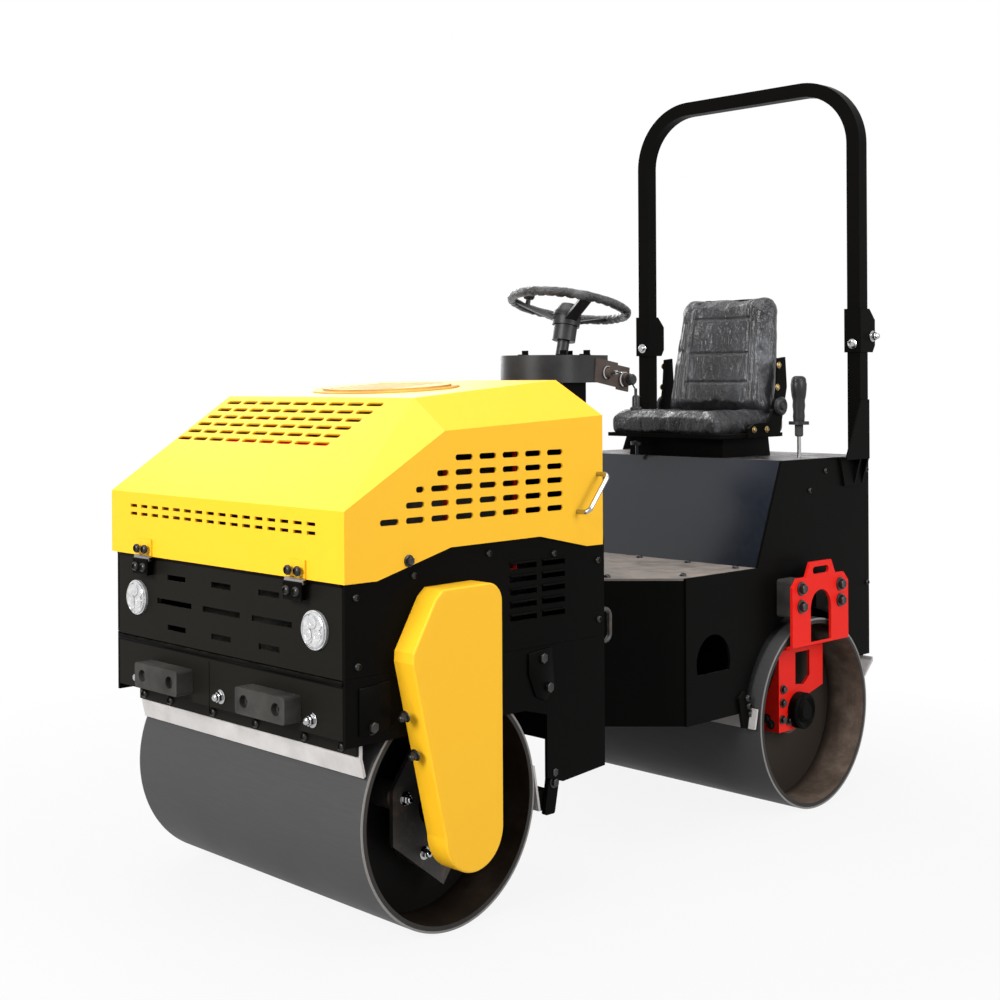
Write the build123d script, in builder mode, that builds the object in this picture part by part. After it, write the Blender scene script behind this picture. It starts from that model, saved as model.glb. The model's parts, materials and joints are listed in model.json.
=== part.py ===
"""Ride-on tandem road roller: two steel drums, a front engine body and a rear
operator platform hinged together on a vertical pin, a tilting sheet hood and
a folding roll-over hoop. Millimetres; -Y is forward, +X the machine's left,
Z up, origin on the ground under the middle of the machine."""
import os
from math import atan2, cos, degrees, radians, sin, sqrt

from build123d import *

os.makedirs("parts", exist_ok=True)

# Drums and axles
drum_radius = 280
drum_width = 880
drum_wall = 16
wheelbase = 1508
front_axle_y = -743
rear_axle_y = front_axle_y + wheelbase
web_depth = 125
web_thickness = 16
hub_radius = 75
hub_length = 70
spindle_radius = 45
running_gap = 0.05
moving_gap = 6

# Front body
front_overhang = 335
front_y = front_axle_y - front_overhang
front_rear_y = front_axle_y + 529
plate = 8
front_half_width = drum_width / 2 + moving_gap + plate
bed_z = 2 * drum_radius + 52
side_bottom_z = bed_z - 137
skirt_bottom_z = drum_radius + 8
seam_z = bed_z + 12
lamp_panel_top_z = bed_z + 212
lamp_panel_bottom_z = bed_z + 10
beam_top_z = bed_z - plate
beam_bottom_z = bed_z - 122
arch_radius = drum_radius + 27

# Hood
sheet = 5
hood_half_width = front_half_width + moving_gap + sheet
hood_front_y = front_y - 10
hood_rear_y = front_rear_y - 17
hood_bottom_z = bed_z + 220
hood_nose_z = hood_bottom_z + 158
hood_ridge_y = hood_front_y + 304
hood_ridge_z = hood_bottom_z + 399
hood_ridge_half_width = hood_half_width - 105
hood_top_rear_z = hood_ridge_z + 39
hood_shoulder_z = hood_ridge_z - 75
hood_shoulder_rear_z = hood_top_rear_z - 89
hood_rear_lean = 32

# Articulation: the pivot stands this far behind the front axle
pivot_setback = 627
pivot_y = front_axle_y + pivot_setback
pivot_pin_radius = 30
yoke_top_z = bed_z - 32
yoke_bottom_z = yoke_top_z - 180
lug_thickness = 22
lug_radius = 58
sleeve_radius = 48
sleeve_gap = 2

# Rear body
rear_overhang = 360.5
rear_y = rear_axle_y + rear_overhang
rear_half_width = drum_width / 2 - 36
nose_y = pivot_y + 115
nose_half_width = 216
chamfer_end_y = nose_y + 191
body_bottom_z = drum_radius + 40
floor_z = bed_z + 113
floor_thickness = 6
floor_end_y = rear_axle_y - 238
seat_box_y = rear_axle_y - 113
seat_box_z = floor_z + 304
rear_skirt_z = drum_radius + 128

# Roll-over hoop
post_tube = 44
post_y = rear_axle_y + 294
hoop_half_width = rear_half_width + 26
hoop_top_z = seat_box_z + 1180
hoop_corner = 210
hoop_joint_z = seat_box_z + 371
collar_bottom_z = hoop_joint_z - 50
collar_top_z = hoop_joint_z + 85
collar_plate = 5
hoop_pin_y = post_y + post_tube / 2 + 15
hoop_pin_radius = 8

# Operator's place
wheel_centre = (0, nose_y + 177, floor_z + 762)
wheel_tilt = 13
wheel_radius = 167
rim_radius = 11
dash_y = nose_y + 74
dash_radius = 128
dash_bottom_z = floor_z + 537
dash_top_z = dash_bottom_z + 78
seat_half_width = 215


def side_plane(x):
    """Sketch plane across X: sketch x runs along Y and sketch y up."""
    return Plane(origin=(x, 0, 0), x_dir=(0, 1, 0), z_dir=(1, 0, 0))


def front_plane(y):
    """Sketch plane across Y that faces forward: sketch x runs along X."""
    return Plane(origin=(0, y, 0), x_dir=(1, 0, 0), z_dir=(0, -1, 0))


def plane_through(a, b, c):
    """Plane through three points."""
    first, second, third = Vector(*a), Vector(*b), Vector(*c)
    return Plane(origin=first, x_dir=second - first, z_dir=(second - first).cross(third - first))


def save(piece, name):
    """Label a finished piece and write its STEP file."""
    piece.label = name
    export_step(piece, f"parts/{name}.step")


def save_pair(piece, name):
    """Write a left-hand piece and its mirror image on the right."""
    right = mirror(piece, about=Plane.YZ)
    save(piece, f"{name}_left")
    save(right, f"{name}_right")


# Front frame: side skirts, engine bed, rear cross plate and cylinder anchor

cylinder_anchor = (-130, front_axle_y + 272)
cylinder_z = yoke_bottom_z + 58
anchor_radius = 12

with BuildPart() as front_frame:
    with BuildSketch(side_plane(front_half_width - plate)):
        with BuildLine():
            Polyline(
                (front_y, side_bottom_z),
                (front_y, seam_z),
                (front_rear_y, seam_z),
                (front_rear_y, skirt_bottom_z + 7),
                (front_rear_y - 160, skirt_bottom_z - 6),
                (front_axle_y + arch_radius + 5, skirt_bottom_z + 12),
                (front_axle_y + arch_radius + 5, side_bottom_z - 20),
                (front_axle_y + arch_radius * 0.76, side_bottom_z),
                close=True,
            )
        make_face()
        with Locations((front_axle_y, drum_radius)):
            Circle(arch_radius, mode=Mode.SUBTRACT)
        with Locations((front_axle_y, (side_bottom_z + seam_z) / 2)):
            Rectangle(2 * arch_radius, seam_z - side_bottom_z)
    extrude(amount=plate)
    mirror(about=Plane.YZ)
    with BuildSketch(Plane.XY.offset(bed_z - plate)):
        with Locations((0, (front_y + front_rear_y) / 2)):
            Rectangle(2 * (front_half_width - plate), front_rear_y - front_y)
    extrude(amount=plate)
    with BuildSketch(front_plane(front_rear_y)):
        with Locations((0, (skirt_bottom_z + 40 + hood_bottom_z) / 2)):
            Rectangle(2 * (front_half_width - plate), hood_bottom_z - skirt_bottom_z - 40)
        with Locations((cylinder_anchor[0] + 28, cylinder_z)):
            Rectangle(120, 84, mode=Mode.SUBTRACT)
    extrude(amount=plate)
    with BuildSketch(Plane.XY.offset(cylinder_z + 30)):
        with Locations(cylinder_anchor):
            Rectangle(56, 56)
    extrude(amount=bed_z - plate - cylinder_z - 30)
    with BuildSketch(Plane.XY.offset(cylinder_z - 20)):
        with Locations(cylinder_anchor):
            Circle(anchor_radius)
    extrude(amount=55)
save(front_frame.part, "front_frame")

# Side panels of the engine bay with two columns of cooling slots

louvre_columns = ((front_axle_y + 230, 94), (front_axle_y + 338, 84))
louvre_rows = 5
louvre_pitch = 31
louvre_bottom_z = seam_z + 78

with BuildPart() as side_panel:
    with BuildSketch(side_plane(front_half_width - plate)):
        with BuildLine():
            Polyline(
                (front_y, seam_z + 1),
                (front_y, hood_bottom_z + 14),
                (front_y + 85, hood_bottom_z + 14),
                (front_y + 312, hood_bottom_z + 74),
                (front_rear_y - 227, hood_bottom_z + 74),
                (front_rear_y - 87, hood_bottom_z + 42),
                (front_rear_y, hood_bottom_z + 42),
                (front_rear_y, seam_z + 1),
                close=True,
            )
        make_face()
        for column_y, louvre_width in louvre_columns:
            for row in range(louvre_rows):
                with Locations((column_y, louvre_bottom_z + row * louvre_pitch)):
                    Rectangle(louvre_width, 17, mode=Mode.SUBTRACT)
    extrude(amount=plate)
    for column_y, louvre_width in louvre_columns:
        for row in range(louvre_rows):
            with BuildSketch(side_plane(front_half_width - plate)):
                with Locations((column_y, louvre_bottom_z + 7 + row * louvre_pitch)):
                    Rectangle(louvre_width, 3)
            extrude(amount=plate + 5)
save_pair(side_panel.part, "side_panel")

# Lamp panel, front beam, rubber buffers and lamps

lamp_x = front_half_width - 98
lamp_z = bed_z + 110
lamp_radius = 44

with BuildPart() as lamp_panel:
    with BuildSketch(front_plane(front_y + 6)):
        with Locations((0, (lamp_panel_top_z + lamp_panel_bottom_z) / 2)):
            Rectangle(2 * (front_half_width - plate - 1), lamp_panel_top_z - lamp_panel_bottom_z)
        with Locations((lamp_x, lamp_z), (-lamp_x, lamp_z)):
            Circle(lamp_radius - 4, mode=Mode.SUBTRACT)
        with Locations((0, lamp_z + 62), (0, lamp_z - 62)):
            with GridLocations(186, 1, 3, 1):
                Rectangle(78, 14, mode=Mode.SUBTRACT)
        with Locations((0, lamp_z)):
            with GridLocations(196, 1, 3, 1):
                Rectangle(149, 14, mode=Mode.SUBTRACT)
    extrude(amount=6)
save(lamp_panel.part, "lamp_panel")

with BuildPart() as headlamps:
    for x in (lamp_x, -lamp_x):
        with BuildSketch(front_plane(front_y)):
            with Locations((x, lamp_z)):
                Circle(lamp_radius)
        extrude(amount=7)
        with BuildSketch(front_plane(front_y)):
            with Locations((x, lamp_z)):
                Circle(lamp_radius - 5)
        extrude(amount=-45)
        with BuildSketch(front_plane(front_y - 7)):
            with Locations((x, lamp_z)):
                with GridLocations(34, 34, 2, 2):
                    Circle(15)
        extrude(amount=4)
save(headlamps.part, "headlamps")

buffer_x = 210
buffer_width = 184
buffer_height = 62
buffer_depth = 47.5
buffer_z = beam_bottom_z + 49
buffer_bolt_spacing = 118
lip_y = front_axle_y - 276
lip_bottom_z = beam_bottom_z - 44
lip_half_width = drum_width / 2 - 10

with BuildPart() as front_beam:
    with BuildSketch(front_plane(front_y + plate)):
        with Locations((0, (beam_top_z + beam_bottom_z) / 2)):
            Rectangle(2 * (front_half_width - plate - 1), beam_top_z - beam_bottom_z)
        with Locations((buffer_x, buffer_z), (-buffer_x, buffer_z)):
            with GridLocations(buffer_bolt_spacing, 1, 2, 1):
                Circle(7, mode=Mode.SUBTRACT)
    extrude(amount=plate)
    with BuildSketch(side_plane(-lip_half_width)):
        with BuildLine():
            Polyline(
                (front_y + plate, beam_bottom_z),
                (front_y + plate, beam_bottom_z + plate),
                (lip_y, beam_bottom_z - 12),
                (lip_y, lip_bottom_z),
                (lip_y - plate, lip_bottom_z),
                (lip_y - plate, beam_bottom_z - 18),
                close=True,
            )
        make_face()
    extrude(amount=2 * lip_half_width)
save(front_beam.part, "front_beam")

with BuildPart() as rubber_buffers:
    for x in (buffer_x, -buffer_x):
        with BuildSketch(front_plane(front_y)):
            with Locations((x, buffer_z)):
                RectangleRounded(buffer_width, buffer_height, 8)
                with GridLocations(buffer_bolt_spacing, 1, 2, 1):
                    Circle(7, mode=Mode.SUBTRACT)
        extrude(amount=buffer_depth)
        with BuildSketch(front_plane(front_y - buffer_depth)):
            with Locations((x, buffer_z)):
                with GridLocations(buffer_bolt_spacing, 1, 2, 1):
                    Circle(15)
        extrude(amount=-14, mode=Mode.SUBTRACT)
save(rubber_buffers.part, "rubber_buffers")

# Front scrapers: a white sheet on the lip and one behind the drum, with its bar

scraper_half_width = drum_width / 2 - moving_gap
scraper_gap = moving_gap


def drum_surface_y(axle_y, z, side):
    """Y of the drum's face at height z, in front of (-1) or behind (1) its axle."""
    return axle_y + side * sqrt(drum_radius**2 - (z - drum_radius) ** 2)


front_blade_z = drum_radius + 120
rear_blade_z = drum_radius + 50
scraper_bar_z = drum_radius - 44

with BuildPart() as front_scrapers:
    blade_y = drum_surface_y(front_axle_y, front_blade_z, -1) - scraper_gap
    with BuildSketch(side_plane(-scraper_half_width)):
        with BuildLine():
            Polyline(
                (lip_y, beam_bottom_z - 20),
                (lip_y + 7, beam_bottom_z - 20),
                (lip_y + 7, lip_bottom_z - 6),
                (blade_y, front_blade_z),
                (blade_y - 7, front_blade_z - 4),
                (lip_y, lip_bottom_z - 8),
                close=True,
            )
        make_face()
    extrude(amount=2 * scraper_half_width)
    blade_y = drum_surface_y(front_axle_y, rear_blade_z, 1) + scraper_gap
    with BuildSketch(side_plane(-scraper_half_width)):
        with BuildLine():
            Polyline(
                (blade_y, rear_blade_z),
                (blade_y + 7, rear_blade_z),
                (blade_y + 28, scraper_bar_z - 20),
                (blade_y + 21, scraper_bar_z - 20),
                close=True,
            )
        make_face()
    extrude(amount=2 * scraper_half_width)
save(front_scrapers.part, "front_scrapers")

with BuildPart() as scraper_bar:
    blade_y = drum_surface_y(front_axle_y, rear_blade_z, 1) + scraper_gap
    blade_lean = 21 / (rear_blade_z - scraper_bar_z + 20)
    with BuildSketch(side_plane(-scraper_half_width)):
        with BuildLine():
            Polyline(
                (blade_y + 7 + blade_lean * (rear_blade_z - scraper_bar_z - 28), scraper_bar_z + 28),
                (blade_y + 60, scraper_bar_z + 28),
                (blade_y + 60, scraper_bar_z - 20),
                (blade_y + 28, scraper_bar_z - 20),
                close=True,
            )
        make_face()
    extrude(amount=2 * scraper_half_width)
    with BuildSketch(side_plane(scraper_half_width)):
        with BuildLine():
            Polyline(
                (blade_y + 50, scraper_bar_z + 94),
                (blade_y + 92, scraper_bar_z + 94),
                (blade_y + 66, scraper_bar_z - 30),
                (blade_y + 30, scraper_bar_z - 30),
                close=True,
            )
        make_face()
        fillet(vertices(), 6)
    extrude(amount=front_half_width - plate - scraper_half_width)
    mirror(about=Plane.YZ)
save(scraper_bar.part, "scraper_bar")

# Yellow covers over the drum arms, and the arms with their spindles

cover_depth = 62
cover_sheet = 4
cover_outer_x = front_half_width + cover_depth
cover_foot = (front_axle_y, drum_radius - 35)
cover_foot_radius = 93
cover_corner = 46
cover_top_z = hood_bottom_z - 26
cover_top_y = front_axle_y - 98
cover_front_y = front_axle_y - 2 * cover_foot_radius - 6


def cover_outline(inset):
    """Outline of a drum-arm cover in the side plane, moved inwards by inset."""
    foot_y, foot_z = cover_foot
    r = cover_foot_radius - inset
    with BuildSketch() as outline:
        with BuildLine():
            rear_line = Line((foot_y + r, foot_z), (foot_y + r, cover_top_z - cover_corner))
            corner = cover_corner - inset
            slack = corner * (1 - sin(radians(45)))
            top_arc = ThreePointArc(
                rear_line @ 1,
                (foot_y + r - slack, cover_top_z - inset - slack),
                (foot_y + r - corner, cover_top_z - inset),
            )
            shoulder = Polyline(
                top_arc @ 1,
                (cover_top_y, cover_top_z - inset - 2),
                (cover_top_y - 22 + inset / 2, cover_top_z - inset - 20),
                (cover_front_y + 2 + inset, cover_top_z - 134),
                (cover_front_y + inset, cover_top_z - 158),
                (foot_y - r, foot_z),
            )
            ThreePointArc(shoulder @ 1, (foot_y, foot_z - r), rear_line @ 0)
        make_face()
    return outline.sketch


with BuildPart() as drum_cover:
    with BuildSketch(side_plane(front_half_width)):
        add(cover_outline(0))
    extrude(amount=cover_depth)
    outer_face = drum_cover.faces().sort_by(Axis.X)[-1]
    fillet(outer_face.edges(), 5)
    with BuildSketch(side_plane(front_half_width)):
        add(cover_outline(cover_sheet))
    extrude(amount=cover_depth - cover_sheet, mode=Mode.SUBTRACT)
save_pair(drum_cover.part, "drum_cover")

with BuildPart() as front_arm:
    with BuildSketch(side_plane(front_half_width)):
        add(cover_outline(12))
    extrude(amount=20)
    with BuildSketch(side_plane(drum_width / 2 - web_depth - 20)):
        with Locations((front_axle_y, drum_radius)):
            Circle(spindle_radius)
    extrude(amount=front_half_width - drum_width / 2 + web_depth + 20)
save_pair(front_arm.part, "front_arm")

# Engine as one plain block, the bulkhead behind it and the lashing loops

engine_width = 560
engine_length = 620
engine_height = 430

with BuildPart() as engine_block:
    with BuildSketch(Plane.XY.offset(bed_z)):
        with Locations((0, front_axle_y + 120)):
            Rectangle(engine_width, engine_length)
    extrude(amount=engine_height)
    chamfer(engine_block.edges().group_by(Axis.Z)[-1], 40)
save(engine_block.part, "engine_block")

with BuildPart() as bulkhead:
    with BuildSketch(front_plane(hood_rear_y - 2)):
        with Locations((0, (bed_z + hood_shoulder_rear_z - 10) / 2)):
            Rectangle(2 * (front_half_width - plate), hood_shoulder_rear_z - 10 - bed_z)
    extrude(amount=5)
save(bulkhead.part, "bulkhead")

loop_z = seam_z + 21
with BuildPart() as lashing_loops:
    for sign in (1, -1):
        x = sign * (front_half_width - plate - 10)
        with BuildLine() as loop_line:
            FilletPolyline(
                (x, front_rear_y, loop_z + 40),
                (x, front_rear_y + 42, loop_z + 40),
                (x, front_rear_y + 42, loop_z - 40),
                (x, front_rear_y, loop_z - 40),
                radius=18,
            )
        with BuildSketch(Plane(origin=loop_line.line @ 0, z_dir=loop_line.line % 0)):
            Circle(6)
        sweep(path=loop_line.line)
save(lashing_loops.part, "lashing_loops")

# Front yoke: two lugs and the vertical pivot pin

with BuildPart() as front_yoke:
    for z in (yoke_bottom_z, yoke_top_z - lug_thickness):
        with BuildSketch(Plane.XY.offset(z)):
            with Locations((0, pivot_y)):
                Circle(lug_radius)
            with Locations((0, (pivot_y + front_rear_y) / 2)):
                Rectangle(2 * lug_radius, pivot_y - front_rear_y)
        extrude(amount=lug_thickness)
    with BuildSketch(Plane.XY.offset(yoke_bottom_z - 14)):
        with Locations((0, pivot_y)):
            Circle(pivot_pin_radius)
    extrude(amount=yoke_top_z - yoke_bottom_z + 28)
save(front_yoke.part, "front_yoke")

# Hood: one folded sheet shell with cooling slots

slot_height = 14
side_slot_length = 57
side_slot_pitch = 78
side_slot_rows = 5
side_slot_row_pitch = 34
side_slot_first_y = front_axle_y - 213
side_slot_bottom_z = hood_bottom_z + 126
side_slot_columns = 8


def side_slot_field():
    """Centres and lengths of the side slots: the upper rows start further back."""
    first_columns = (0, 1, 1, 2, 3)
    first_lengths = (side_slot_length, side_slot_length, 26, 38, side_slot_length)
    for row in range(side_slot_rows):
        z = side_slot_bottom_z + row * side_slot_row_pitch
        for column in range(first_columns[row], side_slot_columns):
            y = side_slot_first_y + column * side_slot_pitch
            if column == first_columns[row]:
                length = first_lengths[row]
                yield (y + (side_slot_length - length) / 2, z), length
            else:
                yield (y, z), side_slot_length


with BuildPart() as hood:
    with BuildSketch(side_plane(-hood_half_width)):
        with BuildLine():
            Polyline(
                (hood_front_y, hood_bottom_z),
                (hood_front_y, hood_nose_z),
                (hood_ridge_y, hood_ridge_z),
                (hood_rear_y - hood_rear_lean, hood_top_rear_z),
                (hood_rear_y, hood_shoulder_rear_z),
                (hood_rear_y, hood_bottom_z),
                close=True,
            )
        make_face()
    extrude(amount=2 * hood_half_width)
    for sign in (1, -1):
        nose = (sign * hood_half_width, hood_front_y, hood_nose_z)
        shoulder = (sign * hood_half_width, hood_ridge_y, hood_shoulder_z)
        shoulder_rear = (sign * hood_half_width, hood_rear_y, hood_shoulder_rear_z)
        ridge = (sign * hood_ridge_half_width, hood_ridge_y, hood_ridge_z)
        for corner in ((nose, shoulder, ridge), (shoulder, shoulder_rear, ridge)):
            cut = plane_through(*corner)
            keep = Keep.BOTTOM if cut.z_dir.Z > 0 else Keep.TOP
            split(bisect_by=cut, keep=keep)
    open_faces = hood.faces().filter_by(Axis.Z).sort_by(Axis.Z)[:1] + hood.faces().filter_by(
        Axis.Y
    ).sort_by(Axis.Y)[-1:]
    offset(amount=-sheet, openings=open_faces)
    with BuildSketch(side_plane(-hood_half_width - 1)):
        with BuildLine():
            Polyline(
                (front_y + 85, hood_bottom_z - 1),
                (front_y + 85, hood_bottom_z),
                (front_y + 312, hood_bottom_z + 57),
                (hood_rear_y - 233, hood_bottom_z + 60),
                (hood_rear_y - 60, hood_bottom_z + 24),
                (hood_rear_y + 1, hood_bottom_z + 24),
                (hood_rear_y + 1, hood_bottom_z - 1),
                close=True,
            )
        make_face()
    extrude(amount=2 * hood_half_width + 2, mode=Mode.SUBTRACT)
    with BuildSketch(side_plane(-hood_half_width - 1)):
        for centre, length in side_slot_field():
            with Locations(centre):
                SlotOverall(length, slot_height)
    extrude(amount=2 * hood_half_width + 2, mode=Mode.SUBTRACT)
    with BuildSketch(front_plane(hood_front_y + sheet + 1)):
        with Locations((-4, hood_nose_z - 44)):
            with GridLocations(47.5, 20, 16, 2):
                Rectangle(30, 8)
    extrude(amount=sheet + 2, mode=Mode.SUBTRACT)
    slope_length = sqrt((hood_ridge_y - hood_front_y) ** 2 + (hood_ridge_z - hood_nose_z) ** 2)
    slope_up = ((hood_ridge_y - hood_front_y) / slope_length, (hood_ridge_z - hood_nose_z) / slope_length)
    slope_plane = Plane(
        origin=(0, hood_ridge_y, hood_ridge_z),
        x_dir=(1, 0, 0),
        z_dir=(0, -slope_up[1], slope_up[0]),
    )
    with BuildSketch(slope_plane.offset(1)):
        for row in range(6):
            with Locations((-32 - 12.4 * row, -26 - 29.4 * row)):
                with GridLocations(70, 1, 9, 1):
                    SlotOverall(58, slot_height)
    extrude(amount=-sheet - 2, mode=Mode.SUBTRACT)
save(hood.part, "hood")

# Hood vent on the top sheet, side handles and hinge leaves

top_pitch = degrees(
    atan2(hood_top_rear_z - hood_ridge_z, hood_rear_y - hood_rear_lean - hood_ridge_y)
)
top_plane = Plane(
    origin=(0, hood_ridge_y, hood_ridge_z),
    x_dir=(1, 0, 0),
    z_dir=(0, -sin(radians(top_pitch)), cos(radians(top_pitch))),
)
with BuildPart() as hood_vent:
    with BuildSketch(top_plane):
        with Locations((0, 240)):
            Ellipse(205, 130)
            with GridLocations(1, 34, 1, 6):
                Rectangle(250, 14, mode=Mode.SUBTRACT)
    extrude(amount=9)
save(hood_vent.part, "hood_vent")

handle_top = (hood_rear_y - 20, hood_bottom_z + 202)
handle_foot = (hood_rear_y - 97, hood_bottom_z + 112)
handle_reach = 36
handle_bar = 6
with BuildPart() as hood_handles:
    for sign in (1, -1):
        with BuildLine() as handle_line:
            FilletPolyline(
                (sign * hood_half_width, *handle_top),
                (sign * (hood_half_width + handle_reach), *handle_top),
                (sign * (hood_half_width + handle_reach), *handle_foot),
                (sign * hood_half_width, *handle_foot),
                radius=14,
            )
        with BuildSketch(Plane(origin=handle_line.line @ 0, z_dir=handle_line.line % 0)):
            Circle(handle_bar)
        sweep(path=handle_line.line)
save(hood_handles.part, "hood_handles")

hinge_x = hood_half_width - 159
hinge_axis_y = hood_front_y - 8
hinge_axis_z = hood_bottom_z - 4
knuckle_radius = 7
knuckle_length = 30
leaf_width = 36
hinge_pin_radius = 3

with BuildPart() as hinge_leaves_fixed:
    for x in (hinge_x, -hinge_x):
        with BuildSketch(side_plane(x - knuckle_length / 2)):
            with Locations((hinge_axis_y, hinge_axis_z)):
                Circle(knuckle_radius)
        extrude(amount=knuckle_length)
        with BuildSketch(side_plane(x - knuckle_length / 2)):
            with Locations(((front_y + hinge_axis_y) / 2, hinge_axis_z - 22)):
                Rectangle(front_y - hinge_axis_y, 44)
        extrude(amount=knuckle_length)
        with BuildSketch(side_plane(x - leaf_width)):
            with Locations((hinge_axis_y, hinge_axis_z)):
                Circle(hinge_pin_radius)
        extrude(amount=2 * leaf_width)
save(hinge_leaves_fixed.part, "hinge_leaves_fixed")

with BuildPart() as hinge_leaves_hood:
    for x in (hinge_x, -hinge_x):
        for offset_x in (knuckle_length / 2 + 1, -knuckle_length / 2 - 15):
            with BuildSketch(side_plane(x + offset_x)):
                with Locations((hinge_axis_y, hinge_axis_z)):
                    Circle(knuckle_radius)
            extrude(amount=14)
        with BuildSketch(front_plane(hood_front_y)):
            with Locations((x, hinge_axis_z + 28)):
                Rectangle(2 * (knuckle_length / 2 + 15), 38)
        extrude(amount=5)
        for offset_x in (knuckle_length / 2 + 1, -knuckle_length / 2 - 15):
            with BuildSketch(front_plane(hood_front_y)):
                with Locations((x + offset_x + 7, hinge_axis_z + 7)):
                    Rectangle(14, 14)
            extrude(amount=5)
        with BuildSketch(side_plane(x - leaf_width - 1)):
            with Locations((hinge_axis_y, hinge_axis_z)):
                Circle(hinge_pin_radius + running_gap)
        extrude(amount=2 * leaf_width + 2, mode=Mode.SUBTRACT)
save(hinge_leaves_hood.part, "hinge_leaves_hood")


# Drums: rolled shell, two recessed webs and bearing hubs


with BuildPart() as drum_blank:
    web_x = drum_width / 2 - web_depth
    with BuildSketch(Plane.XY):
        with BuildLine():
            Polyline(
                (-drum_width / 2, drum_radius),
                (drum_width / 2, drum_radius),
                (drum_width / 2, drum_radius - drum_wall),
                (web_x, drum_radius - drum_wall),
                (web_x, hub_radius),
                (web_x + hub_length / 2, hub_radius),
                (web_x + hub_length / 2, spindle_radius + running_gap),
                (web_x - hub_length, spindle_radius + running_gap),
                (web_x - hub_length, hub_radius),
                (web_x - web_thickness, hub_radius),
                (web_x - web_thickness, drum_radius - drum_wall),
                (web_thickness - web_x, drum_radius - drum_wall),
                (web_thickness - web_x, hub_radius),
                (hub_length - web_x, hub_radius),
                (hub_length - web_x, spindle_radius + running_gap),
                (-web_x - hub_length / 2, spindle_radius + running_gap),
                (-web_x - hub_length / 2, hub_radius),
                (-web_x, hub_radius),
                (-web_x, drum_radius - drum_wall),
                (-drum_width / 2, drum_radius - drum_wall),
                close=True,
            )
        make_face()
    revolve(axis=Axis.X)
save(drum_blank.part.moved(Location((0, front_axle_y, drum_radius))), "front_drum")
save(drum_blank.part.moved(Location((0, rear_axle_y, drum_radius))), "rear_drum")

# Drive plates on rubber mounts in the ends of the front drum

mount_radius = 32
mount_length = 55
mount_circle = 112
drive_plate = 12
drive_plate_side = 276
drive_plate_depth = 264
drive_plate_turn = 53

with BuildPart() as drive_plates:
    web_x = drum_width / 2 - web_depth
    with BuildSketch(side_plane(web_x)):
        with Locations((front_axle_y, drum_radius)):
            with PolarLocations(mount_circle, 4, start_angle=drive_plate_turn + 19):
                Circle(mount_radius)
    extrude(amount=mount_length)
    with BuildSketch(side_plane(web_x + mount_length)):
        with Locations((front_axle_y, drum_radius)):
            Rectangle(drive_plate_side, drive_plate_side, rotation=drive_plate_turn)
            Rectangle(drive_plate_depth, 2 * drive_plate_side, mode=Mode.INTERSECT)
            Circle(spindle_radius + moving_gap, mode=Mode.SUBTRACT)
    extrude(amount=drive_plate)
    mirror(about=Plane.YZ)
save(drive_plates.part, "drive_plates")

# Rear body: side plates, nose, floor, seat box and back panel

arch_window_y = rear_axle_y - 451
arch_window_z = body_bottom_z + 161

with BuildPart() as rear_side:
    with BuildSketch(side_plane(rear_half_width - plate)):
        with BuildLine():
            Polyline(
                (chamfer_end_y, body_bottom_z),
                (chamfer_end_y, floor_z),
                (floor_end_y, floor_z),
                (seat_box_y, seat_box_z),
                (rear_y, seat_box_z),
                (rear_y, rear_skirt_z),
                (rear_axle_y, rear_skirt_z),
                (rear_axle_y, body_bottom_z),
                close=True,
            )
        make_face()
        with Locations((rear_axle_y, drum_radius)):
            Circle(arch_radius, mode=Mode.SUBTRACT)
        with Locations((arch_window_y, arch_window_z)):
            Circle(78, mode=Mode.SUBTRACT)
        with Locations((arch_window_y, arch_window_z - 54)):
            Rectangle(160, 50)
    extrude(amount=plate)
save_pair(rear_side.part, "rear_side")

with BuildPart() as nose_box:
    with BuildSketch(Plane.XY.offset(body_bottom_z)):
        with BuildLine():
            Polyline(
                (-rear_half_width + plate, chamfer_end_y + 30),
                (-rear_half_width + plate, chamfer_end_y),
                (-nose_half_width, nose_y),
                (nose_half_width, nose_y),
                (rear_half_width - plate, chamfer_end_y),
                (rear_half_width - plate, chamfer_end_y + 30),
                (rear_half_width - 2 * plate, chamfer_end_y + 30),
                (rear_half_width - 2 * plate, chamfer_end_y + 4),
                (nose_half_width - 4, nose_y + plate),
                (4 - nose_half_width, nose_y + plate),
                (2 * plate - rear_half_width, chamfer_end_y + 4),
                (2 * plate - rear_half_width, chamfer_end_y + 30),
                close=True,
            )
        make_face()
    extrude(amount=floor_z - floor_thickness - body_bottom_z)
save(nose_box.part, "nose_box")

with BuildPart() as floor_plate_part:
    with BuildSketch(Plane.XY.offset(floor_z - floor_thickness)):
        with BuildLine():
            Polyline(
                (-rear_half_width + plate, floor_end_y),
                (-rear_half_width + plate, chamfer_end_y),
                (-nose_half_width, nose_y),
                (nose_half_width, nose_y),
                (rear_half_width - plate, chamfer_end_y),
                (rear_half_width - plate, floor_end_y),
                close=True,
            )
        make_face()
    extrude(amount=floor_thickness)
save(floor_plate_part.part, "floor_plate")

with BuildPart() as seat_box:
    with BuildSketch(side_plane(-rear_half_width + plate)):
        with BuildLine():
            Polyline(
                (floor_end_y, floor_z - floor_thickness),
                (seat_box_y, seat_box_z),
                (rear_y - plate, seat_box_z),
                (rear_y - plate, seat_box_z - plate),
                (seat_box_y + 6, seat_box_z - plate),
                (floor_end_y + 9, floor_z - floor_thickness),
                close=True,
            )
        make_face()
    extrude(amount=2 * (rear_half_width - plate))
save(seat_box.part, "seat_box")

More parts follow.
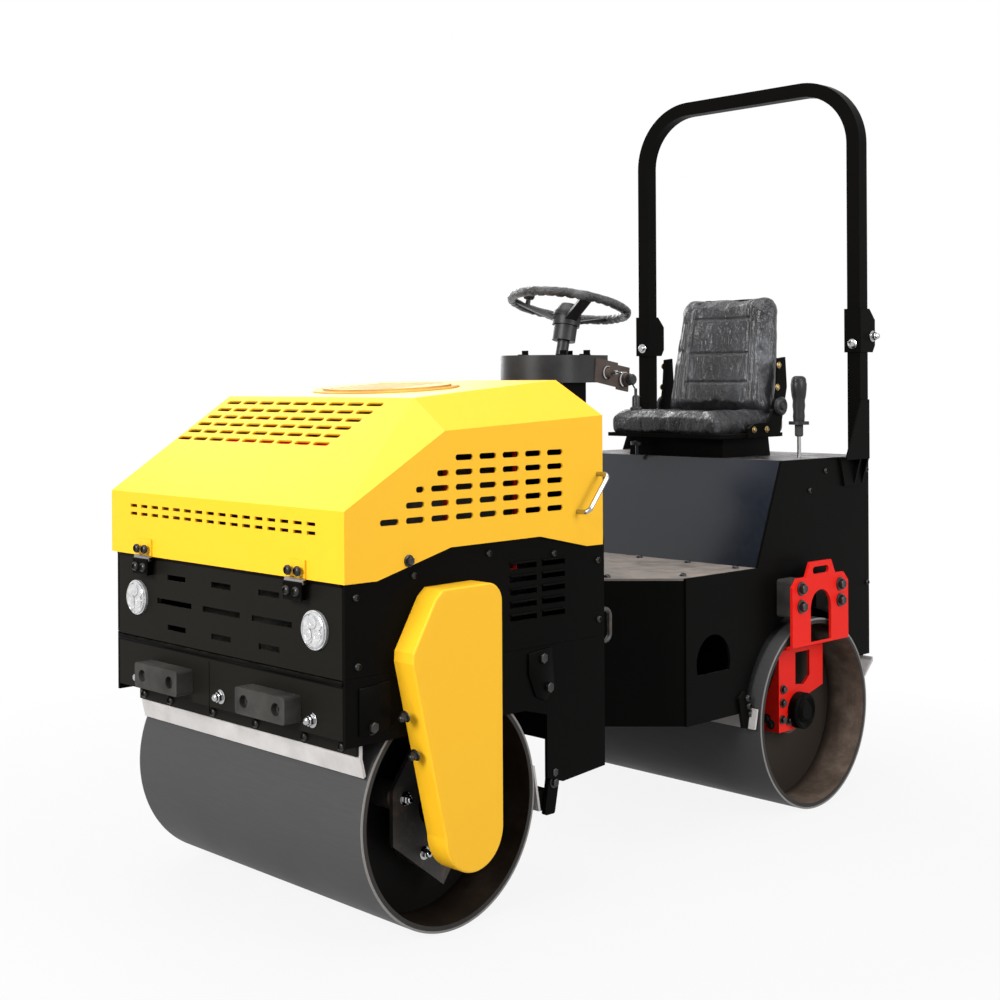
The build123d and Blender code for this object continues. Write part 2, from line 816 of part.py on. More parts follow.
with BuildPart() as back_panel:
    with BuildSketch(front_plane(rear_y)):
        with Locations((0, (seat_box_z + rear_skirt_z) / 2)):
            Rectangle(2 * (rear_half_width - plate), seat_box_z - rear_skirt_z)
        with Locations((0, rear_skirt_z + 60)):
            with GridLocations(240, 1, 3, 1):
                SlotOverall(150, 24, mode=Mode.SUBTRACT)
    extrude(amount=plate)
save(back_panel.part, "back_panel")

with BuildPart() as drum_deck:
    with BuildSketch(side_plane(-rear_half_width + plate)):
        with BuildLine():
            Polyline(
                (chamfer_end_y + 40, body_bottom_z),
                (rear_axle_y - arch_radius - 10, body_bottom_z),
                (rear_axle_y - arch_radius + 30, drum_radius + arch_radius),
                (rear_y - plate, drum_radius + arch_radius),
                (rear_y - plate, drum_radius + arch_radius + plate),
                (rear_axle_y - arch_radius + 24, drum_radius + arch_radius + plate),
                (rear_axle_y - arch_radius - 17, body_bottom_z + plate),
                (chamfer_end_y + 40, body_bottom_z + plate),
                close=True,
            )
        make_face()
    extrude(amount=2 * (rear_half_width - plate))
save(drum_deck.part, "drum_deck")

# Rear yoke: sleeve on the pivot pin, web to the nose and an ear for the cylinder

rod_eye = (-85, pivot_y + 50)
ear_thickness = 14
eye_radius = 26
eye_pin_radius = 9
eye_hole_radius = 24
eye_height = 38
sleeve_bottom_z = yoke_bottom_z + lug_thickness + sleeve_gap
sleeve_top_z = yoke_top_z - lug_thickness - sleeve_gap

with BuildPart() as rear_yoke:
    with BuildSketch(Plane.XY.offset(sleeve_bottom_z)):
        with Locations((0, pivot_y)):
            Circle(sleeve_radius)
        with Locations((0, (pivot_y + nose_y) / 2)):
            Rectangle(84, nose_y - pivot_y)
    extrude(amount=sleeve_top_z - sleeve_bottom_z)
    with BuildSketch(Plane.XY.offset(sleeve_bottom_z)):
        with BuildLine():
            Polyline(
                (0, pivot_y - 20),
                (rod_eye[0], rod_eye[1] - eye_radius),
                (rod_eye[0], rod_eye[1] + eye_radius),
                (-30, nose_y - 20),
                (0, nose_y - 20),
                close=True,
            )
        make_face()
        with Locations(rod_eye):
            Circle(eye_radius)
    extrude(amount=ear_thickness)
    with BuildSketch(Plane.XY.offset(sleeve_bottom_z)):
        with Locations(rod_eye):
            Circle(eye_pin_radius)
    extrude(amount=ear_thickness + eye_height + 6)
    with BuildSketch(Plane.XY.offset(sleeve_bottom_z - 1)):
        with Locations((0, pivot_y)):
            Circle(pivot_pin_radius + running_gap)
    extrude(amount=sleeve_top_z - sleeve_bottom_z + 2, mode=Mode.SUBTRACT)
save(rear_yoke.part, "rear_yoke")

# Steering cylinder: barrel on the front frame's anchor pin, rod to the ear

barrel_radius = 25
rod_radius = 12
barrel_length = 215
rod_run = Vector(rod_eye[0] - cylinder_anchor[0], rod_eye[1] - cylinder_anchor[1], 0)
cylinder_plane = Plane(
    origin=(cylinder_anchor[0], cylinder_anchor[1], cylinder_z), x_dir=(0, 0, 1), z_dir=rod_run
)

with BuildPart() as cylinder_barrel:
    with BuildSketch(cylinder_plane.offset(20)):
        Circle(barrel_radius)
    extrude(amount=barrel_length)
    with BuildSketch(Plane.XY.offset(cylinder_z - 16)):
        with Locations(cylinder_anchor):
            Circle(24)
    extrude(amount=32)
    with BuildSketch(Plane.XY.offset(cylinder_z - 30)):
        with Locations(cylinder_anchor):
            Circle(anchor_radius + running_gap)
    extrude(amount=60, mode=Mode.SUBTRACT)
    with BuildSketch(cylinder_plane.offset(60)):
        Circle(rod_radius + running_gap)
    extrude(amount=barrel_length, mode=Mode.SUBTRACT)
save(cylinder_barrel.part, "cylinder_barrel")

with BuildPart() as cylinder_rod:
    with BuildSketch(cylinder_plane.offset(130)):
        Circle(rod_radius)
    extrude(amount=rod_run.length - 130 - eye_hole_radius)
    with BuildSketch(Plane.XY.offset(sleeve_bottom_z + ear_thickness + 0.3)):
        with Locations(rod_eye):
            Circle(eye_hole_radius + 7)
    extrude(amount=eye_height)
    with BuildSketch(Plane.XY.offset(sleeve_bottom_z + ear_thickness)):
        with Locations(rod_eye):
            Circle(eye_hole_radius)
    extrude(amount=eye_height + 2, mode=Mode.SUBTRACT)
save(cylinder_rod.part, "cylinder_rod")

# Red arms that carry the rear drum, with their rubber blocks

arm_plate = 8
arm_outer_x = drum_width / 2 + 20
arm_half_width = 148
arm_bottom_z = beam_bottom_z
arm_shoulder_z = arm_bottom_z + 182
arm_top_z = arm_shoulder_z + 60
leg_x = drum_width / 2 - 60
leg_front_y = rear_axle_y - 99
leg_rear_y = rear_axle_y + 134
leg_width = 86
leg_bottom_z = drum_radius - 55
tab_z = drum_radius + 50
foot_depth = 57
foot_top_z = drum_radius + 40

with BuildPart() as rear_arm:
    with BuildSketch(side_plane(arm_outer_x - arm_plate)):
        with BuildLine():
            Polyline(
                (rear_axle_y - arm_half_width, arm_bottom_z),
                (rear_axle_y - arm_half_width, arm_shoulder_z - 8),
                (rear_axle_y - 122, arm_shoulder_z + 18),
                (rear_axle_y - 78, arm_shoulder_z + 18),
                (rear_axle_y - 56, arm_top_z),
                (rear_axle_y + 56, arm_top_z),
                (rear_axle_y + 78, arm_shoulder_z + 18),
                (rear_axle_y + 122, arm_shoulder_z + 18),
                (rear_axle_y + arm_half_width, arm_shoulder_z - 8),
                (rear_axle_y + arm_half_width, arm_bottom_z),
                close=True,
            )
        make_face()
        fillet(vertices().group_by(Axis.Z)[1:], 8)
        with Locations((rear_axle_y, arm_top_z - 26)):
            SlotOverall(84, 22, mode=Mode.SUBTRACT)
        with Locations((rear_axle_y, (arm_bottom_z + arm_shoulder_z - 78) / 2)):
            Rectangle(108, arm_shoulder_z - 78 - arm_bottom_z, mode=Mode.SUBTRACT)
        with Locations((rear_axle_y, arm_shoulder_z - 78)):
            Circle(54, mode=Mode.SUBTRACT)
    extrude(amount=arm_plate)
    with BuildSketch(front_plane(rear_axle_y + arm_half_width)):
        with BuildLine():
            Polyline(
                (arm_outer_x, arm_bottom_z),
                (arm_outer_x, arm_bottom_z + arm_plate),
                (leg_x - arm_plate, arm_bottom_z - 18),
                (leg_x - arm_plate, arm_bottom_z - 26),
                (leg_x, arm_bottom_z - 26),
                close=True,
            )
        make_face()
    extrude(amount=2 * arm_half_width)
    with BuildSketch(side_plane(leg_x - arm_plate)):
        with BuildLine():
            Polyline(
                (leg_front_y, arm_bottom_z - 20),
                (leg_front_y, leg_bottom_z),
                (leg_front_y + leg_width, leg_bottom_z),
                (leg_front_y + leg_width, tab_z - 14),
                (rear_axle_y + 41, tab_z - 14),
                (leg_rear_y, tab_z + 10),
                (leg_rear_y, arm_bottom_z - 20),
                close=True,
            )
        make_face()
        fillet(vertices().group_by(Axis.Z)[0].sort_by(Axis.Y)[-1], 18)
        with BuildLine():
            Polyline(
                (leg_front_y + leg_width, tab_z + 27),
                (rear_axle_y + 30, tab_z + 23),
                (rear_axle_y + 62, tab_z + 46),
                (rear_axle_y + 62, arm_bottom_z - 38),
                (leg_front_y + leg_width, arm_bottom_z - 38),
                close=True,
            )
        make_face(mode=Mode.SUBTRACT)
    extrude(amount=arm_plate)
    with BuildSketch(front_plane(leg_front_y + arm_plate)):
        with BuildLine():
            Polyline(
                (leg_x, leg_bottom_z),
                (leg_x, arm_bottom_z - 20),
                (leg_x - 4, arm_bottom_z - 60),
                (leg_x - foot_depth, foot_top_z - 30),
                (leg_x - foot_depth, leg_bottom_z),
                close=True,
            )
        make_face()
    extrude(amount=arm_plate)
    with BuildSketch(side_plane(drum_width / 2 - web_depth - 20)):
        with Locations((rear_axle_y, drum_radius)):
            Circle(spindle_radius)
    extrude(amount=leg_x - drum_width / 2 + web_depth + 40)
save_pair(rear_arm.part, "rear_arm")

arm_buffer_offset = 103
arm_buffer_width = 80
arm_buffer_height = 110

with BuildPart() as arm_buffers:
    with BuildSketch(side_plane(rear_half_width)):
        with Locations((rear_axle_y, arm_shoulder_z - 42)):
            with GridLocations(2 * arm_buffer_offset, 1, 2, 1):
                RectangleRounded(arm_buffer_width, arm_buffer_height, 10)
    extrude(amount=arm_outer_x - arm_plate - rear_half_width)
    mirror(about=Plane.YZ)
save(arm_buffers.part, "arm_buffers")

# Rear scrapers with their brackets

rear_front_blade_z = drum_radius + 50
rear_back_blade_z = drum_radius + 70

lip_front_y = rear_y - 30

with BuildPart() as rear_scrapers:
    blade_y = drum_surface_y(rear_axle_y, rear_front_blade_z, -1) - scraper_gap
    with BuildSketch(side_plane(-scraper_half_width)):
        with BuildLine():
            Polyline(
                (blade_y - 7, rear_front_blade_z),
                (blade_y, rear_front_blade_z),
                (blade_y - 13, rear_front_blade_z - 55),
                (blade_y - 20, rear_front_blade_z - 55),
                close=True,
            )
        make_face()
    extrude(amount=2 * scraper_half_width)
    blade_y = drum_surface_y(rear_axle_y, rear_back_blade_z, 1) + scraper_gap
    with BuildSketch(side_plane(-scraper_half_width)):
        with BuildLine():
            Polyline(
                (blade_y, rear_back_blade_z),
                (blade_y + 8, rear_back_blade_z),
                (lip_front_y, rear_skirt_z - 16),
                (lip_front_y, rear_skirt_z - 3),
                (lip_front_y - 8, rear_skirt_z - 3),
                (lip_front_y - 8, rear_skirt_z - 13),
                close=True,
            )
        make_face()
    extrude(amount=2 * scraper_half_width)
save(rear_scrapers.part, "rear_scrapers")

with BuildPart() as rear_scraper_mounts:
    blade_y = drum_surface_y(rear_axle_y, rear_front_blade_z, -1) - scraper_gap
    with BuildSketch(side_plane(rear_half_width)):
        with BuildLine():
            Polyline(
                (blade_y - 62, rear_front_blade_z + 34),
                (blade_y - 34, rear_front_blade_z + 52),
                (blade_y - 7, rear_front_blade_z),
                (blade_y - 20, rear_front_blade_z - 55),
                (blade_y - 44, rear_front_blade_z - 50),
                close=True,
            )
        make_face()
    extrude(amount=plate)
    mirror(about=Plane.YZ)
    with BuildSketch(side_plane(plate - rear_half_width)):
        with BuildLine():
            Polyline(
                (lip_front_y, rear_skirt_z - 18),
                (lip_front_y, rear_skirt_z + 34),
                (rear_y - plate, rear_skirt_z + 34),
                (rear_y - plate, rear_skirt_z + 26),
                (lip_front_y + plate, rear_skirt_z + 26),
                (lip_front_y + plate, rear_skirt_z - 18),
                close=True,
            )
        make_face()
    extrude(amount=2 * (rear_half_width - plate))
save(rear_scraper_mounts.part, "rear_scraper_mounts")

# Seat: base box, cushion, back and recliner brackets

seat_centre_y = rear_axle_y + 35
base_top_z = seat_box_z + 72
cushion_top_z = base_top_z + 71
back_lean = 9

with BuildPart() as seat_base:
    with BuildSketch(Plane.XY.offset(seat_box_z)):
        with Locations((0, seat_centre_y)):
            Rectangle(360, 250)
    extrude(amount=base_top_z - seat_box_z - 12, taper=4)
    with BuildSketch(Plane.XY.offset(base_top_z - 12)):
        with Locations((0, seat_centre_y - 25)):
            Rectangle(2 * (seat_half_width + 0.3), 330)
    extrude(amount=12)
save(seat_base.part, "seat_base")

with BuildPart() as seat_cushion:
    with BuildSketch(Plane.XY.offset(base_top_z + 0.3)):
        with Locations((0, seat_centre_y + 10)):
            RectangleRounded(2 * seat_half_width, 400, 60)
    extrude(amount=cushion_top_z - base_top_z - 0.3)
    fillet(seat_cushion.edges().group_by(Axis.Z)[-1], 25)
save(seat_cushion.part, "seat_cushion")

back_plane = Plane(
    origin=(0, seat_centre_y + 128, cushion_top_z + 8),
    x_dir=(1, 0, 0),
    z_dir=(0, -cos(radians(back_lean)), -sin(radians(back_lean))),
)
with BuildPart() as seat_back:
    with BuildSketch(back_plane):
        with BuildLine():
            Polyline(
                (-seat_half_width, 0),
                (seat_half_width, 0),
                (seat_half_width, 130),
                (172, 366),
                (-172, 366),
                (-seat_half_width, 130),
                close=True,
            )
        make_face()
        fillet(vertices().group_by(Axis.Z)[-1], 60)
        fillet(vertices().group_by(Axis.Z)[0], 25)
    extrude(amount=-86)
    fillet(seat_back.faces().sort_by(Axis.Y)[0].edges(), 20)
save(seat_back.part, "seat_back")

recliner = (seat_centre_y + 112, cushion_top_z + 12)

with BuildPart() as seat_brackets:
    with BuildSketch(side_plane(seat_half_width + 0.3)):
        with BuildLine():
            Polyline(
                (seat_centre_y - 52, base_top_z - 12),
                (seat_centre_y - 52, base_top_z + 16),
                (seat_centre_y - 20, base_top_z + 30),
                (seat_centre_y + 52, base_top_z + 34),
                (recliner[0] - 24, recliner[1]),
                (recliner[0] - 12, recliner[1] + 60),
                (recliner[0] - 4, recliner[1] + 150),
                (recliner[0] + 34, recliner[1] + 154),
                (recliner[0] + 42, recliner[1] + 60),
                (recliner[0] + 26, recliner[1]),
                (seat_centre_y + 112, base_top_z - 12),
                close=True,
            )
        make_face()
        fillet(vertices().group_by(Axis.Z)[1:], 7)
        with Locations(recliner):
            Circle(31)
    extrude(amount=8)
    mirror(about=Plane.YZ)
save(seat_brackets.part, "seat_brackets")

# Control lever in its boot beside the seat

lever_x = rear_half_width - 59
lever_y = rear_axle_y + 67
grip_bottom_z = seat_box_z + 111
grip_height = 138

with BuildPart() as control_lever:
    with BuildSketch(Plane.XY.offset(seat_box_z)):
        with Locations((lever_x, lever_y)):
            Circle(5)
    extrude(amount=grip_bottom_z - seat_box_z)
    with BuildSketch(Plane.XY.offset(grip_bottom_z - 44)):
        with Locations((lever_x, lever_y)):
            Circle(11)
    extrude(amount=36)
    with BuildSketch(Plane.XY.offset(grip_bottom_z - 10)):
        with Locations((lever_x, lever_y)):
            Circle(30)
    extrude(amount=10)
    for share, half_width, half_depth in ((0, 15, 18), (0.45, 17, 20), (0.85, 20, 26)):
        with BuildSketch(Plane.XY.offset(grip_bottom_z + share * grip_height)):
            with Locations((lever_x, lever_y)):
                Ellipse(half_width, half_depth)
    loft()
    grip_top = control_lever.faces().sort_by(Axis.Z)[-1]
    extrude(grip_top, amount=0.15 * grip_height)
    fillet(control_lever.edges().group_by(Axis.Z)[-1], 14)
save(control_lever.part, "control_lever")

# Dash pillar, console, switch panel and steering column

with BuildPart() as dash_pillar:
    with BuildSketch(Plane.XY.offset(floor_z)):
        with Locations((0, dash_y + 5)):
            Rectangle(210, 100)
    extrude(amount=dash_bottom_z - floor_z)
save(dash_pillar.part, "dash_pillar")

with BuildPart() as dash_console:
    with BuildSketch(Plane.XY.offset(dash_bottom_z)):
        with Locations((0, dash_y)):
            Circle(dash_radius)
        with Locations((0, dash_y + 62)):
            Rectangle(2 * dash_radius, 124)
    extrude(amount=dash_top_z - dash_bottom_z)
save(dash_console.part, "dash_console")

with BuildPart() as switch_panel:
    with BuildSketch(side_plane(dash_radius)):
        with BuildLine():
            Polyline(
                (dash_y + 70, dash_top_z - 8),
                (dash_y + 165, dash_top_z - 22),
                (dash_y + 165, dash_top_z - 28),
                (dash_y + 218, dash_top_z - 36),
                (dash_y + 210, dash_top_z - 106),
                (dash_y + 158, dash_top_z - 98),
                (dash_y + 158, dash_top_z - 92),
                (dash_y + 64, dash_top_z - 76),
                close=True,
            )
        make_face()
    extrude(amount=4)
    with BuildSketch(side_plane(dash_radius + 4)):
        with Locations((dash_y + 112, dash_top_z - 50)):
            Circle(14)
        with Locations((dash_y + 188, dash_top_z - 70)):
            Circle(18)
    extrude(amount=22)
save(switch_panel.part, "switch_panel")

column_axis = Vector(0, sin(radians(wheel_tilt)), cos(radians(wheel_tilt)))
wheel_plane = Plane(origin=wheel_centre, x_dir=(1, 0, 0), z_dir=column_axis)
hub_drop = 62
shaft_radius = 11
shaft_length = 22
spinner_reach = 122

with BuildPart() as steering_column:
    with BuildSketch(wheel_plane.offset(-hub_drop - 1)):
        Circle(34)
    extrude(amount=-44)
    with BuildSketch(wheel_plane.offset(-hub_drop - 40)):
        Circle(18)
    extrude(amount=-80)
    with BuildSketch(wheel_plane.offset(-hub_drop - 2)):
        Circle(shaft_radius)
    extrude(amount=shaft_length)
    split(bisect_by=Plane.XY.offset(dash_top_z), keep=Keep.TOP)
save(steering_column.part, "steering_column")

with BuildPart() as steering_wheel:
    with BuildSketch(Plane(origin=wheel_plane.origin, x_dir=(1, 0, 0), z_dir=wheel_plane.y_dir * -1)):
        with Locations((wheel_radius, 0)):
            Circle(rim_radius)
    revolve(axis=Axis(wheel_plane.origin, wheel_plane.z_dir))
    with BuildSketch(wheel_plane.offset(-hub_drop)):
        Circle(40)
    extrude(amount=26)
    with BuildSketch(wheel_plane.offset(-hub_drop + 26)):
        Circle(28)
    extrude(amount=18, taper=20)
    for angle in (90, 210, 330):
        spoke_end = wheel_plane.from_local_coords(
            (wheel_radius * cos(radians(angle)), wheel_radius * sin(radians(angle)), 0)
        )
        spoke_start = wheel_plane.from_local_coords(
            (24 * cos(radians(angle)), 24 * sin(radians(angle)), 13 - hub_drop)
        )
        spoke_run = Vector(spoke_end) - Vector(spoke_start)
        with BuildSketch(Plane(origin=spoke_start, x_dir=wheel_plane.z_dir, z_dir=spoke_run)):
            Rectangle(9, 34)
        extrude(amount=spoke_run.length)
    spinner = (spinner_reach * cos(radians(210)), spinner_reach * sin(radians(210)))
    with BuildSketch(wheel_plane.offset(-hub_drop * (1 - spinner_reach / wheel_radius))):
        with Locations(spinner):
            Circle(7)
    extrude(amount=36)
    for height, reach, narrowing in ((14, -6, 30), (14, 14, 0), (28, 9, 35)):
        with BuildSketch(wheel_plane.offset(height)):
            with Locations(spinner):
                Circle(17)
        extrude(amount=reach, taper=narrowing)
    with BuildSketch(wheel_plane.offset(-hub_drop - 1)):
        Circle(shaft_radius + running_gap)
    extrude(amount=shaft_length + 2, mode=Mode.SUBTRACT)
save(steering_wheel.part, "steering_wheel")

# Roll-over hoop: fixed posts with folding joints and the hoop that folds back

post_x = hoop_half_width - post_tube / 2
post_wall = 4
fold_clearance = 1.5
collar_half = post_tube / 2 + fold_clearance + collar_plate
ear_reach = 32
foot_plate = 8

with BuildPart() as hoop_posts:
    with BuildSketch(Plane.XY.offset(seat_box_z)):
        with Locations((post_x, post_y)):
            Rectangle(post_tube, post_tube)
    extrude(amount=hoop_joint_z - seat_box_z)
    with BuildSketch(Plane.XY.offset(collar_bottom_z)):
        with Locations((post_x, post_y - (fold_clearance + collar_plate) / 2)):
            Rectangle(2 * collar_half, post_tube + fold_clearance + collar_plate)
        with Locations((post_x, post_y - fold_clearance / 2)):
            Rectangle(
                post_tube + 2 * fold_clearance, post_tube + fold_clearance, mode=Mode.SUBTRACT
            )
    extrude(amount=collar_top_z - collar_bottom_z)
    for x in (post_x + collar_half - collar_plate, post_x - collar_half):
        with BuildSketch(side_plane(x)):
            with BuildLine():
                Polyline(
                    (post_y - post_tube / 2, collar_bottom_z),
                    (post_y - post_tube / 2, collar_top_z),
                    (post_y + post_tube / 2, collar_top_z),
                    (post_y + post_tube / 2 + ear_reach, collar_top_z - 34),
                    (post_y + post_tube / 2 + ear_reach, collar_bottom_z + 22),
                    (post_y + post_tube / 2 + 18, collar_bottom_z),
                    close=True,
                )
            make_face()
        extrude(amount=collar_plate)
    with BuildSketch(side_plane(post_x - post_tube / 2 - fold_clearance)):
        with Locations((post_y - fold_clearance / 2, (collar_bottom_z + hoop_joint_z) / 2)):
            Rectangle(post_tube + fold_clearance, hoop_joint_z - collar_bottom_z)
    extrude(amount=post_tube + 2 * fold_clearance)
    with BuildSketch(side_plane(post_x + post_tube / 2)):
        with BuildLine():
            Polyline(
                (post_y - post_tube / 2, seat_box_z + 175),
                (post_y - post_tube / 2 - 85, seat_box_z),
                (post_y + post_tube / 2, seat_box_z),
                (post_y + post_tube / 2, seat_box_z + 175),
                close=True,
            )
        make_face()
    extrude(amount=5)
    with BuildSketch(side_plane(rear_half_width)):
        with BuildLine():
            Polyline(
                (post_y - post_tube / 2 - 85, seat_box_z),
                (post_y - post_tube / 2 - 60, seat_box_z - 90),
                (post_y + post_tube / 2, seat_box_z - 90),
                (post_y + post_tube / 2, seat_box_z),
                close=True,
            )
        make_face()
    extrude(amount=foot_plate)
    with BuildSketch(Plane.XY.offset(seat_box_z)):
        with Locations((rear_half_width, post_y + post_tube / 2)):
            foot_size = (hoop_half_width + 5 - rear_half_width, post_tube + 85)
            Rectangle(*foot_size, align=(Align.MIN, Align.MAX))
    extrude(amount=-foot_plate)
    for rib_y in (post_y + post_tube / 2, post_y - post_tube / 2):
        with BuildSketch(front_plane(rib_y)):
            with BuildLine():
                Polyline(
                    (rear_half_width, seat_box_z),
                    (hoop_half_width + 5, seat_box_z),
                    (rear_half_width + foot_plate, seat_box_z - 88),
                    (rear_half_width, seat_box_z - 88),
                    close=True,
                )
            make_face()
        extrude(amount=foot_plate)
    with BuildSketch(side_plane(post_x - collar_half)):
        with Locations((hoop_pin_y, hoop_joint_z)):
            Circle(hoop_pin_radius)
    extrude(amount=2 * collar_half)
    mirror(about=Plane.YZ)
save(hoop_posts.part, "hoop_posts")

with BuildPart() as hoop_frame:
    leg_bottom = hoop_joint_z + 2
    with BuildLine() as hoop_line:
        FilletPolyline(
            (-post_x, post_y, leg_bottom),
            (-post_x, post_y, hoop_top_z - post_tube / 2),
            (post_x, post_y, hoop_top_z - post_tube / 2),
            (post_x, post_y, leg_bottom),
            radius=hoop_corner - post_tube / 2,
        )
    with BuildSketch(Plane.XY.offset(leg_bottom)):
        with Locations((-post_x, post_y)):
            Rectangle(post_tube, post_tube)
    sweep(path=hoop_line.line)
    for x in (-post_x, post_x):
        with BuildSketch(side_plane(x - post_tube / 2)):
            with Locations((hoop_pin_y, hoop_joint_z)):
                Circle(14)
            with BuildLine():
                Polyline(
                    (post_y, leg_bottom),
                    (post_y + post_tube / 2, leg_bottom),
                    (hoop_pin_y, hoop_joint_z),
                    (hoop_pin_y + 14, hoop_joint_z),
                    (hoop_pin_y + 10, hoop_joint_z + 30),
                    (post_y, hoop_joint_z + 60),
                    close=True,
                )
            make_face()
        extrude(amount=post_tube)
        with BuildSketch(side_plane(x - post_tube)):
            with Locations((hoop_pin_y, hoop_joint_z)):
                Circle(hoop_pin_radius + running_gap)
        extrude(amount=2 * post_tube, mode=Mode.SUBTRACT)
save(hoop_frame.part, "hoop")
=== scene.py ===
import json
from math import atan2, cos, degrees, exp, pi, radians, sin

import bpy
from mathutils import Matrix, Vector


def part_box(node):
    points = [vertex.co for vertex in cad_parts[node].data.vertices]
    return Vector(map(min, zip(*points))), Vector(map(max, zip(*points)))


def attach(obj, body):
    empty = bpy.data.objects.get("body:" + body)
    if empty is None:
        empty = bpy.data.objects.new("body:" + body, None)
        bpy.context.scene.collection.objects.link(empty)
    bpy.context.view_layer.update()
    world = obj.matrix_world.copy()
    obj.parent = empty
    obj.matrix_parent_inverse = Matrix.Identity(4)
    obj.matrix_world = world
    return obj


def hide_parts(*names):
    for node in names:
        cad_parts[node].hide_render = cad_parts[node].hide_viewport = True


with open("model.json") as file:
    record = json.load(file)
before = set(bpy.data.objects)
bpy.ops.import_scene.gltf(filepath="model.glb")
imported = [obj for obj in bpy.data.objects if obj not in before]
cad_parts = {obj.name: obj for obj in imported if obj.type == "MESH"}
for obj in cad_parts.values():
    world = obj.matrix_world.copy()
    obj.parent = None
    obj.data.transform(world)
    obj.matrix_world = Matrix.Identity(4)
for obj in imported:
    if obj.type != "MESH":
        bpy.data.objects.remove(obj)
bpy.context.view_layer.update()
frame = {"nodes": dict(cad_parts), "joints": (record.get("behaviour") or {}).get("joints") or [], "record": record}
bpy.ops.object.select_all(action="DESELECT")
scene = bpy.context.scene


def left_face(node):
    """How far a CAD node reaches to the machine's left."""
    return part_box(node)[1].x


# Places worked out from the frame: joints' anchors, and the faces that bolts and plates stand on
joint_at = {joint["name"]: joint["pos_m"] for joint in frame["joints"] if "pos_m" in joint}
FRONT_AXLE, REAR_AXLE = joint_at["front_drum_spin"][1], joint_at["rear_drum_spin"][1]
AXLE_Z = joint_at["front_drum_spin"][2]
HINGE_Y, HINGE_Z = joint_at["hood_hinge"][1:]
PIN_Y, PIN_Z = joint_at["hoop_fold"][1:]
WHEEL_AT = joint_at["steering_wheel_spin"]
FRONT_SIDE, REAR_SIDE = left_face("front_frame"), left_face("rear_side_left")
HOOD_SIDE = left_face("hood")
ARM_SIDE = left_face("rear_arm_left")
BAR_SIDE = left_face("scraper_bar")
MOUNT_SIDE = left_face("rear_scraper_mounts")
DRIVE_SIDE = left_face("drive_plates")
POST_SIDE = left_face("hoop_posts")
SEAT_SIDE = left_face("seat_brackets")
DRUM_END = left_face("front_drum")
LEG_SIDE = DRUM_END - 0.060
BEAM_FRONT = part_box("front_beam")[0].y
FLOOR_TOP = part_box("floor_plate")[1].z
DASH_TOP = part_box("dash_console")[1].z

# Camera, solved from the photo's straight edges
CAMERA_YAW = 48.4
CAMERA_ROLL = -0.3
CAMERA_AT = (2.9837, -3.2383, 1.2752)
FOCAL_PIXELS = 1540.0
AXIS_PIXEL = (373.2, 379.0)
PICTURE = 1000.0
SENSOR = 36.0

bpy.ops.object.camera_add(location=CAMERA_AT, rotation=(pi / 2, 0, radians(CAMERA_YAW)))
camera = bpy.context.object
camera.name = "photo_camera"
camera.rotation_euler.rotate_axis("Z", radians(CAMERA_ROLL))
camera.data.sensor_width = SENSOR
camera.data.lens = SENSOR * FOCAL_PIXELS / PICTURE
camera.data.shift_x = (PICTURE / 2 - AXIS_PIXEL[0]) / PICTURE
camera.data.shift_y = (AXIS_PIXEL[1] - PICTURE / 2) / PICTURE
scene.camera = camera
scene.view_settings.view_transform = "Standard"


# Node tools
def new_material(name):
    material = bpy.data.materials.new(name)
    material.use_nodes = True
    tree = material.node_tree
    shader = tree.nodes["Principled BSDF"]
    return material, tree, shader


def add_node(tree, kind, **settings):
    node = tree.nodes.new(kind)
    for name, value in settings.items():
        setattr(node, name, value)
    return node


def link(tree, source, target):
    tree.links.new(source, target)


def feed(tree, value, socket):
    """Link an output to a socket, or set the socket to a plain value."""
    if hasattr(value, "links"):
        link(tree, value, socket)
    else:
        socket.default_value = value


def object_place(tree, scale=(1, 1, 1)):
    """Object coordinates through a Mapping node, so a pattern keeps its size in metres."""
    place = add_node(tree, "ShaderNodeTexCoord")
    mapping = add_node(tree, "ShaderNodeMapping")
    mapping.inputs["Scale"].default_value = scale
    link(tree, place.outputs["Object"], mapping.inputs["Vector"])
    return mapping.outputs["Vector"]


def noise(tree, vector, scale, detail=3.0, roughness=0.55):
    node = add_node(tree, "ShaderNodeTexNoise")
    node.inputs["Detail"].default_value = detail
    node.inputs["Roughness"].default_value = roughness
    feed(tree, scale, node.inputs["Scale"])
    link(tree, vector, node.inputs["Vector"])
    return node.outputs["Fac"]


def ramp(tree, factor, stops):
    node = add_node(tree, "ShaderNodeValToRGB")
    elements = node.color_ramp.elements
    while len(elements) < len(stops):
        elements.new(0.5)
    for element, (position, colour) in zip(elements, stops):
        element.position = position
        element.color = colour if len(colour) == 4 else (*colour, 1)
    link(tree, factor, node.inputs["Fac"])
    return node.outputs["Color"]


def mix_colour(tree, factor, first, second, blend="MIX"):
    node = add_node(tree, "ShaderNodeMix", data_type="RGBA", blend_type=blend)
    for value, socket in ((factor, node.inputs[0]), (first, node.inputs[6]), (second, node.inputs[7])):
        feed(tree, value, socket)
    return node.outputs[2]


def bump(tree, height, strength, distance):
    node = add_node(tree, "ShaderNodeBump")
    node.inputs["Distance"].default_value = distance
    feed(tree, strength, node.inputs["Strength"])
    link(tree, height, node.inputs["Height"])
    return node.outputs["Normal"]


def work_out(tree, operation, *terms):
    """A Math node of the given terms, each an output or a number."""
    node = add_node(tree, "ShaderNodeMath", operation=operation)
    for term, socket in zip(terms, node.inputs):
        feed(tree, term, socket)
    return node.outputs[0]


